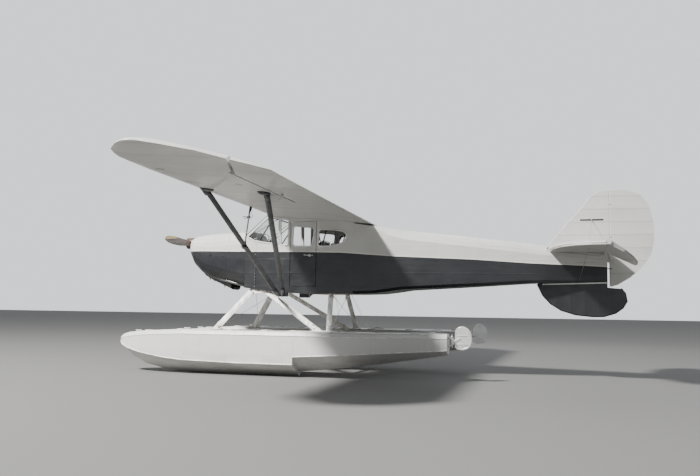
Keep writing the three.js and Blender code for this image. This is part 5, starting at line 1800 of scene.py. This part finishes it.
def dressed(name, size, channels):
    # the pad with a welt round its crown and sewn lines across it
    pad = stuffed(name, size)
    edge = cushionMake["weltInset"]
    depth, width = size[0] / 2 - edge, size[1] / 2 - edge
    around = rounded([(-depth, -width), (depth, -width), (depth, width), (-depth, width)], 0.045, 6)
    loop = []
    for a, b in zip(around, around[1:] + around[:1]):
        loop += [a.lerp(b, k / 6) for k in range(6)] if (b - a).length > 0.05 else [a]
    welt = tube(name + "Welt", onPad(pad, loop, 0.0005), cushionMake["welt"], 8, closed=True)
    seams, buttons = [], []
    for k in range(channels):
        y = -width + 2 * width * (k + 1) / (channels + 1)
        line = [(-depth * 0.97 + 2 * depth * 0.97 * i / 16, y) for i in range(17)]
        seams.append(tube(name + "Seam", onPad(pad, line, -0.0004), cushionMake["seam"], 6))
        for spot in onPad(pad, [(-depth * 0.45, y), (depth * 0.45, y)], -0.001):
            buttons.append(rod("button", spot, spot + Vector((0, 0, 0.0045)), 0.0085, 12, tip=0.005, round=0.001))
    return pad, joined(name + "Trim", [welt] + seams + buttons)


def seatPad(pad, trim, name, middle, lean):
    # sets a pad and its trim in their place, leaning back by an angle about the cross axis
    place = Matrix.Translation(middle) @ Matrix.Rotation(lean, 4, "Y")
    for piece, own, cover in ((pad, name, "leather"), (trim, name + "Trim", "welt")):
        copy = piece.copy()
        copy.data = piece.data.copy()
        bpy.context.scene.collection.objects.link(copy)
        copy.matrix_world = place
        settle(copy, own)
        finishWith(copy, cover, "airframe", smooth=60)


skin["welt"] = makeLeather("weltLeather", (0.060, 0.026, 0.013), (0.12, 0.06, 0.03))
skin["lining"] = makeDopedCloth("liningCloth", (0.22, 0.19, 0.15), (0.13, 0.11, 0.09), 0, 0.09, 0.0, 0.0004)
skin["webbing"] = makeDopedCloth("beltWebbing", (0.25, 0.22, 0.15), (0.14, 0.12, 0.08), 2, 0.004, 0.0, 0.0002)

frontPads = dressed("frontPad", (0.385, 0.425, 0.095), 3), dressed("frontBackPad", (0.450, 0.425, 0.085), 3)
benchPads = dressed("benchPad", (0.375, 0.985, 0.090), 5), dressed("benchBackPad", (0.430, 0.985, 0.080), 5)
lean = {"seat": math.radians(-3.0), "frontBack": math.radians(-77.5), "benchBack": math.radians(-79.5)}


def seatShell(name, x, y0, y1, top, backTop, backShift, node):
    # a box under the pad and a thin curved back board behind it, on steel tube
    parts = [
        block("seatBox", at(x + 0.004, y0 + 0.006, 1.2640), at(x + 0.392, y1 - 0.006, top), 0.010),
        bar(
            "backBoard", at(x + 0.405, (y0 + y1) / 2, top + 0.015),
            at(x + 0.405 + backShift, (y0 + y1) / 2, backTop - 0.018), y1 - y0 - 0.012, 0.012, (1, 0, -0.2), 0.004
        ),
    ]
    shell = joined(name, parts)
    finishWith(shell, "welt", "airframe", smooth=35)
    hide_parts(node)
    upHalf = (
        (x + 0.402, 0.014, top - 0.02),
        (x + 0.412 + backShift * 0.5, 0.014, (top + backTop) / 2),
        (x + 0.414 + backShift, 0.020, backTop - 0.020),
        (x + 0.416 + backShift, 0.050, backTop - 0.009),
    )
    hoop = [at(station, y0 + inset, z) for station, inset, z in upHalf]
    hoop += [at(station, y1 - inset, z) for station, inset, z in reversed(upHalf)]
    finishWith(tube(name + "Hoop", hoop, 0.0085, 10), "steel", "airframe", smooth=60)


for side, name, node in ((-1, "frontSeatNear", "front_seat_left"), (1, "frontSeatFar", "front_seat_right")):
    y0, y1 = sorted((side * 0.040, side * 0.470))
    seatShell(name, 1.960, y0, y1, 1.508, 2.048, 0.098, node)
    seatPad(*frontPads[0], name + "Pad", at(2.152, side * 0.255, 1.545), lean["seat"])
    seatPad(*frontPads[1], name + "BackPad", at(2.382, side * 0.255, 1.812), lean["frontBack"])
seatShell("rearBench", 2.490, -0.500, 0.500, 1.500, 2.028, 0.086, "rear_bench")
seatPad(*benchPads[0], "rearBenchPad", at(2.682, 0, 1.536), lean["seat"])
seatPad(*benchPads[1], "rearBenchBackPad", at(2.905, 0, 1.800), lean["benchBack"])
for pair in (*frontPads, *benchPads):
    for piece in pair:
        throwAway(piece)

# lap belts laid over the pads
belts = []
for side in (-1, 1):
    for y in (side * 0.075, side * 0.435):
        middle = side * 0.255
        toward = 1 if middle > y else -1
        strap = [
            at(2.360, y, 1.560), at(2.300, y, 1.612), at(2.200, y + toward * 0.05, 1.618),
            at(2.120, y + toward * 0.13, 1.616)
        ]
        for a, b in zip(strap, strap[1:]):
            belts.append(bar("belt", a, b, 0.042, 0.003, upward, 0.001))
    belts.append(
        block("buckle", at(2.095, side * 0.255 - 0.034, 1.613), at(2.140, side * 0.255 + 0.034, 1.624), 0.004)
    )
finishWhole("lapBelts", belts, "webbing", 35)

# cabin frame of steel tube inside the walls
frameTubes = {
    "radius": 0.0105,
    "inset": 0.046,
    # pairs of station and height
    "runs": (
        ((1.44, 2.052), (1.665, 2.400)), ((1.43, 1.925), (1.955, 1.918)), ((2.44, 1.911), (2.97, 1.905)),
        ((2.455, 1.810), (2.585, 2.320)), ((1.43, 1.320), (1.95, 1.915)), ((2.99, 1.26), (2.99, 2.270))
    ),
}
tubes = []
for (x0, z0), (x1, z1) in frameTubes["runs"]:
    ends = [at(x, -(skinHalfWidth(x) - frameTubes["inset"]), z) for x, z in ((x0, z0), (x1, z1))]
    tubes.append(rod("frameTube", ends[0], ends[1], frameTubes["radius"], 14, round=0.001))
bothSides(tubes, "cabinTubes", "strut", smooth=50)
cross = []
for x, z in ((1.665, 2.400), (2.428, 2.328), (2.99, 2.268)):
    half = skinHalfWidth(x) - frameTubes["inset"]
    cross.append(rod("crossTube", at(x, -half, z), at(x, half, z), frameTubes["radius"], 14, round=0.001))
finishWhole("cabinCrossTubes", cross, "strut", 50)

# cloth lining below the sills, with a map pocket on each door
wallInside = lambda x, z, depth: at(x, -(skinHalfWidth(x) - 0.0325 + depth), z)
linings = []
for outline in (
    [(1.43, 1.31), (1.43, 1.955), (1.955, 1.935), (1.955, 1.31)],
    [(2.44, 1.285), (2.44, 1.925), (2.975, 1.925), (2.975, 1.285)]
):
    linings.append(plate("lining", [rounded(outline, 0.012, 2)], 0.003, wallInside, 0.0008))
bothSides(linings, "wallLining", "lining", smooth=40)
doorLining = [
    plate(
        "doorLining", [rounded([(2.010, 1.350), (2.010, 1.930), (2.378, 1.925), (2.378, 1.350)], 0.016, 3)], 0.003,
        wallInside, 0.0008
    ),
    plate(
        "mapPocket", [rounded([(2.060, 1.450), (2.055, 1.660), (2.335, 1.660), (2.330, 1.450)], 0.020, 3)], 0.010,
        lambda x, z, depth: at(x, -(skinHalfWidth(x) - 0.041 + depth), z), 0.003
    ),
    tube("pocketHem", [wallInside(x, 1.660, -0.016) for x in (2.058, 2.120, 2.200, 2.280, 2.332)], 0.0035, 8),
]
bothSides(doorLining, "doorLining", "lining", doors, smooth=40)
inside = [
    rod("insideRose", wallInside(2.300, 1.800, -0.002), wallInside(2.300, 1.800, -0.010), 0.018, 18, round=0.0015),
    rod(
        "insideLever", wallInside(2.306, 1.800, -0.014), wallInside(2.230, 1.812, -0.020), 0.0065, 12, tip=0.0052,
        round=0.002
    ),
]
bothSides(inside, "insideHandles", "steel", doors, smooth=40)

# instruments
panel = {
    "face": 1.4254,
    "largeDials": (-0.36, -0.26, 0.0, 0.26),
    "smallDials": (-0.155, -0.075, 0.085, 0.165),
    "knobs": (-0.10, -0.04, 0.04, 0.10),
}
dials = [(y, 1.935, 0.040) for y in panel["largeDials"]] + [(y, 1.955, 0.031) for y in panel["smallDials"]]
faces, bezels, marks, knobs = [], [], [], []
for y, z, radius in sorted(dials):
    middle = at(panel["face"], y, z)
    faces.append(rod("dialFace", middle, middle + Vector((0.004, 0, 0)), radius, 28, round=0.0008))
    bezels.append(ring("bezel", middle + Vector((0.004, 0, 0)), aftward, radius, 0.0042, 28, 8))
    for k in range(12):
        turn = 2 * math.pi * k / 12
        way = Vector((0, math.sin(turn), math.cos(turn)))
        root = middle + Vector((0.0046, 0, 0))
        marks.append(bar("dialMark", root + way * radius * 0.70, root + way * radius * 0.86, 0.0024, 0.0006, aftward))
    turn = y * 17.0
    way = Vector((0, math.sin(turn), math.cos(turn)))
    root = middle + Vector((0.0056, 0, 0))
    marks.append(bar("pointer", root - way * radius * 0.16, root + way * radius * 0.66, 0.0030, 0.0008, aftward))
for y in panel["knobs"]:
    middle = at(panel["face"], y, 1.838)
    knobs.append(rod("knobStem", middle, middle + Vector((0.030, 0, 0)), 0.0035, 10))
    knobs.append(
        rod(
            "knob", middle + Vector((0.026, 0, 0)), middle + Vector((0.044, 0, 0)), 0.0105, 16, tip=0.0085, round=0.003
        )
    )
knobs.append(block("compassFoot", at(1.404, -0.022, 2.0405), at(1.424, 0.022, 2.050), 0.002))
knobs.append(rod("compass", at(1.388, 0, 2.072), at(1.440, 0, 2.072), 0.030, 24, round=0.008))
finishWhole("dialFaces", faces, "dial", 35)
finishWhole("dialBezels", bezels, "alloy", 60)
finishWhole("dialMarks", marks, "whiteMark")
finishWhole("panelKnobs", knobs, "crinkle", 40)

# stick grips and rudder pedals
grips = []
for y in (-0.25, 0.25):
    top, foot = at(1.790, y, 1.760), at(1.700, y, 1.300)
    way = (top - foot).normalized()
    grips.append(rod("grip", top - way * 0.115, top + way * 0.006, 0.0185, 18, tip=0.0165, round=0.005))
    for k in range(5):
        grips.append(ring("gripRib", top - way * (0.020 + 0.019 * k), way, 0.0178, 0.0022, 18, 6))
finishWhole("stickGrips", grips, "rubber", 40)
pedals = []
for y in (-0.335, -0.175, 0.175, 0.335):
    pedals.append(rod("pedalArm", at(1.345, y, 1.316), at(1.375, y, 1.440), 0.007, 12, round=0.001))
    pedals.append(rod("pedalBar", at(1.376, y - 0.048, 1.440), at(1.376, y + 0.048, 1.440), 0.012, 14, round=0.003))
    pedals.append(block("pedalFoot", at(1.325, y - 0.020, 1.3105), at(1.365, y + 0.020, 1.3200), 0.003))
finishWhole("rudderPedals", pedals, "steel", 40)
print("cabin done")
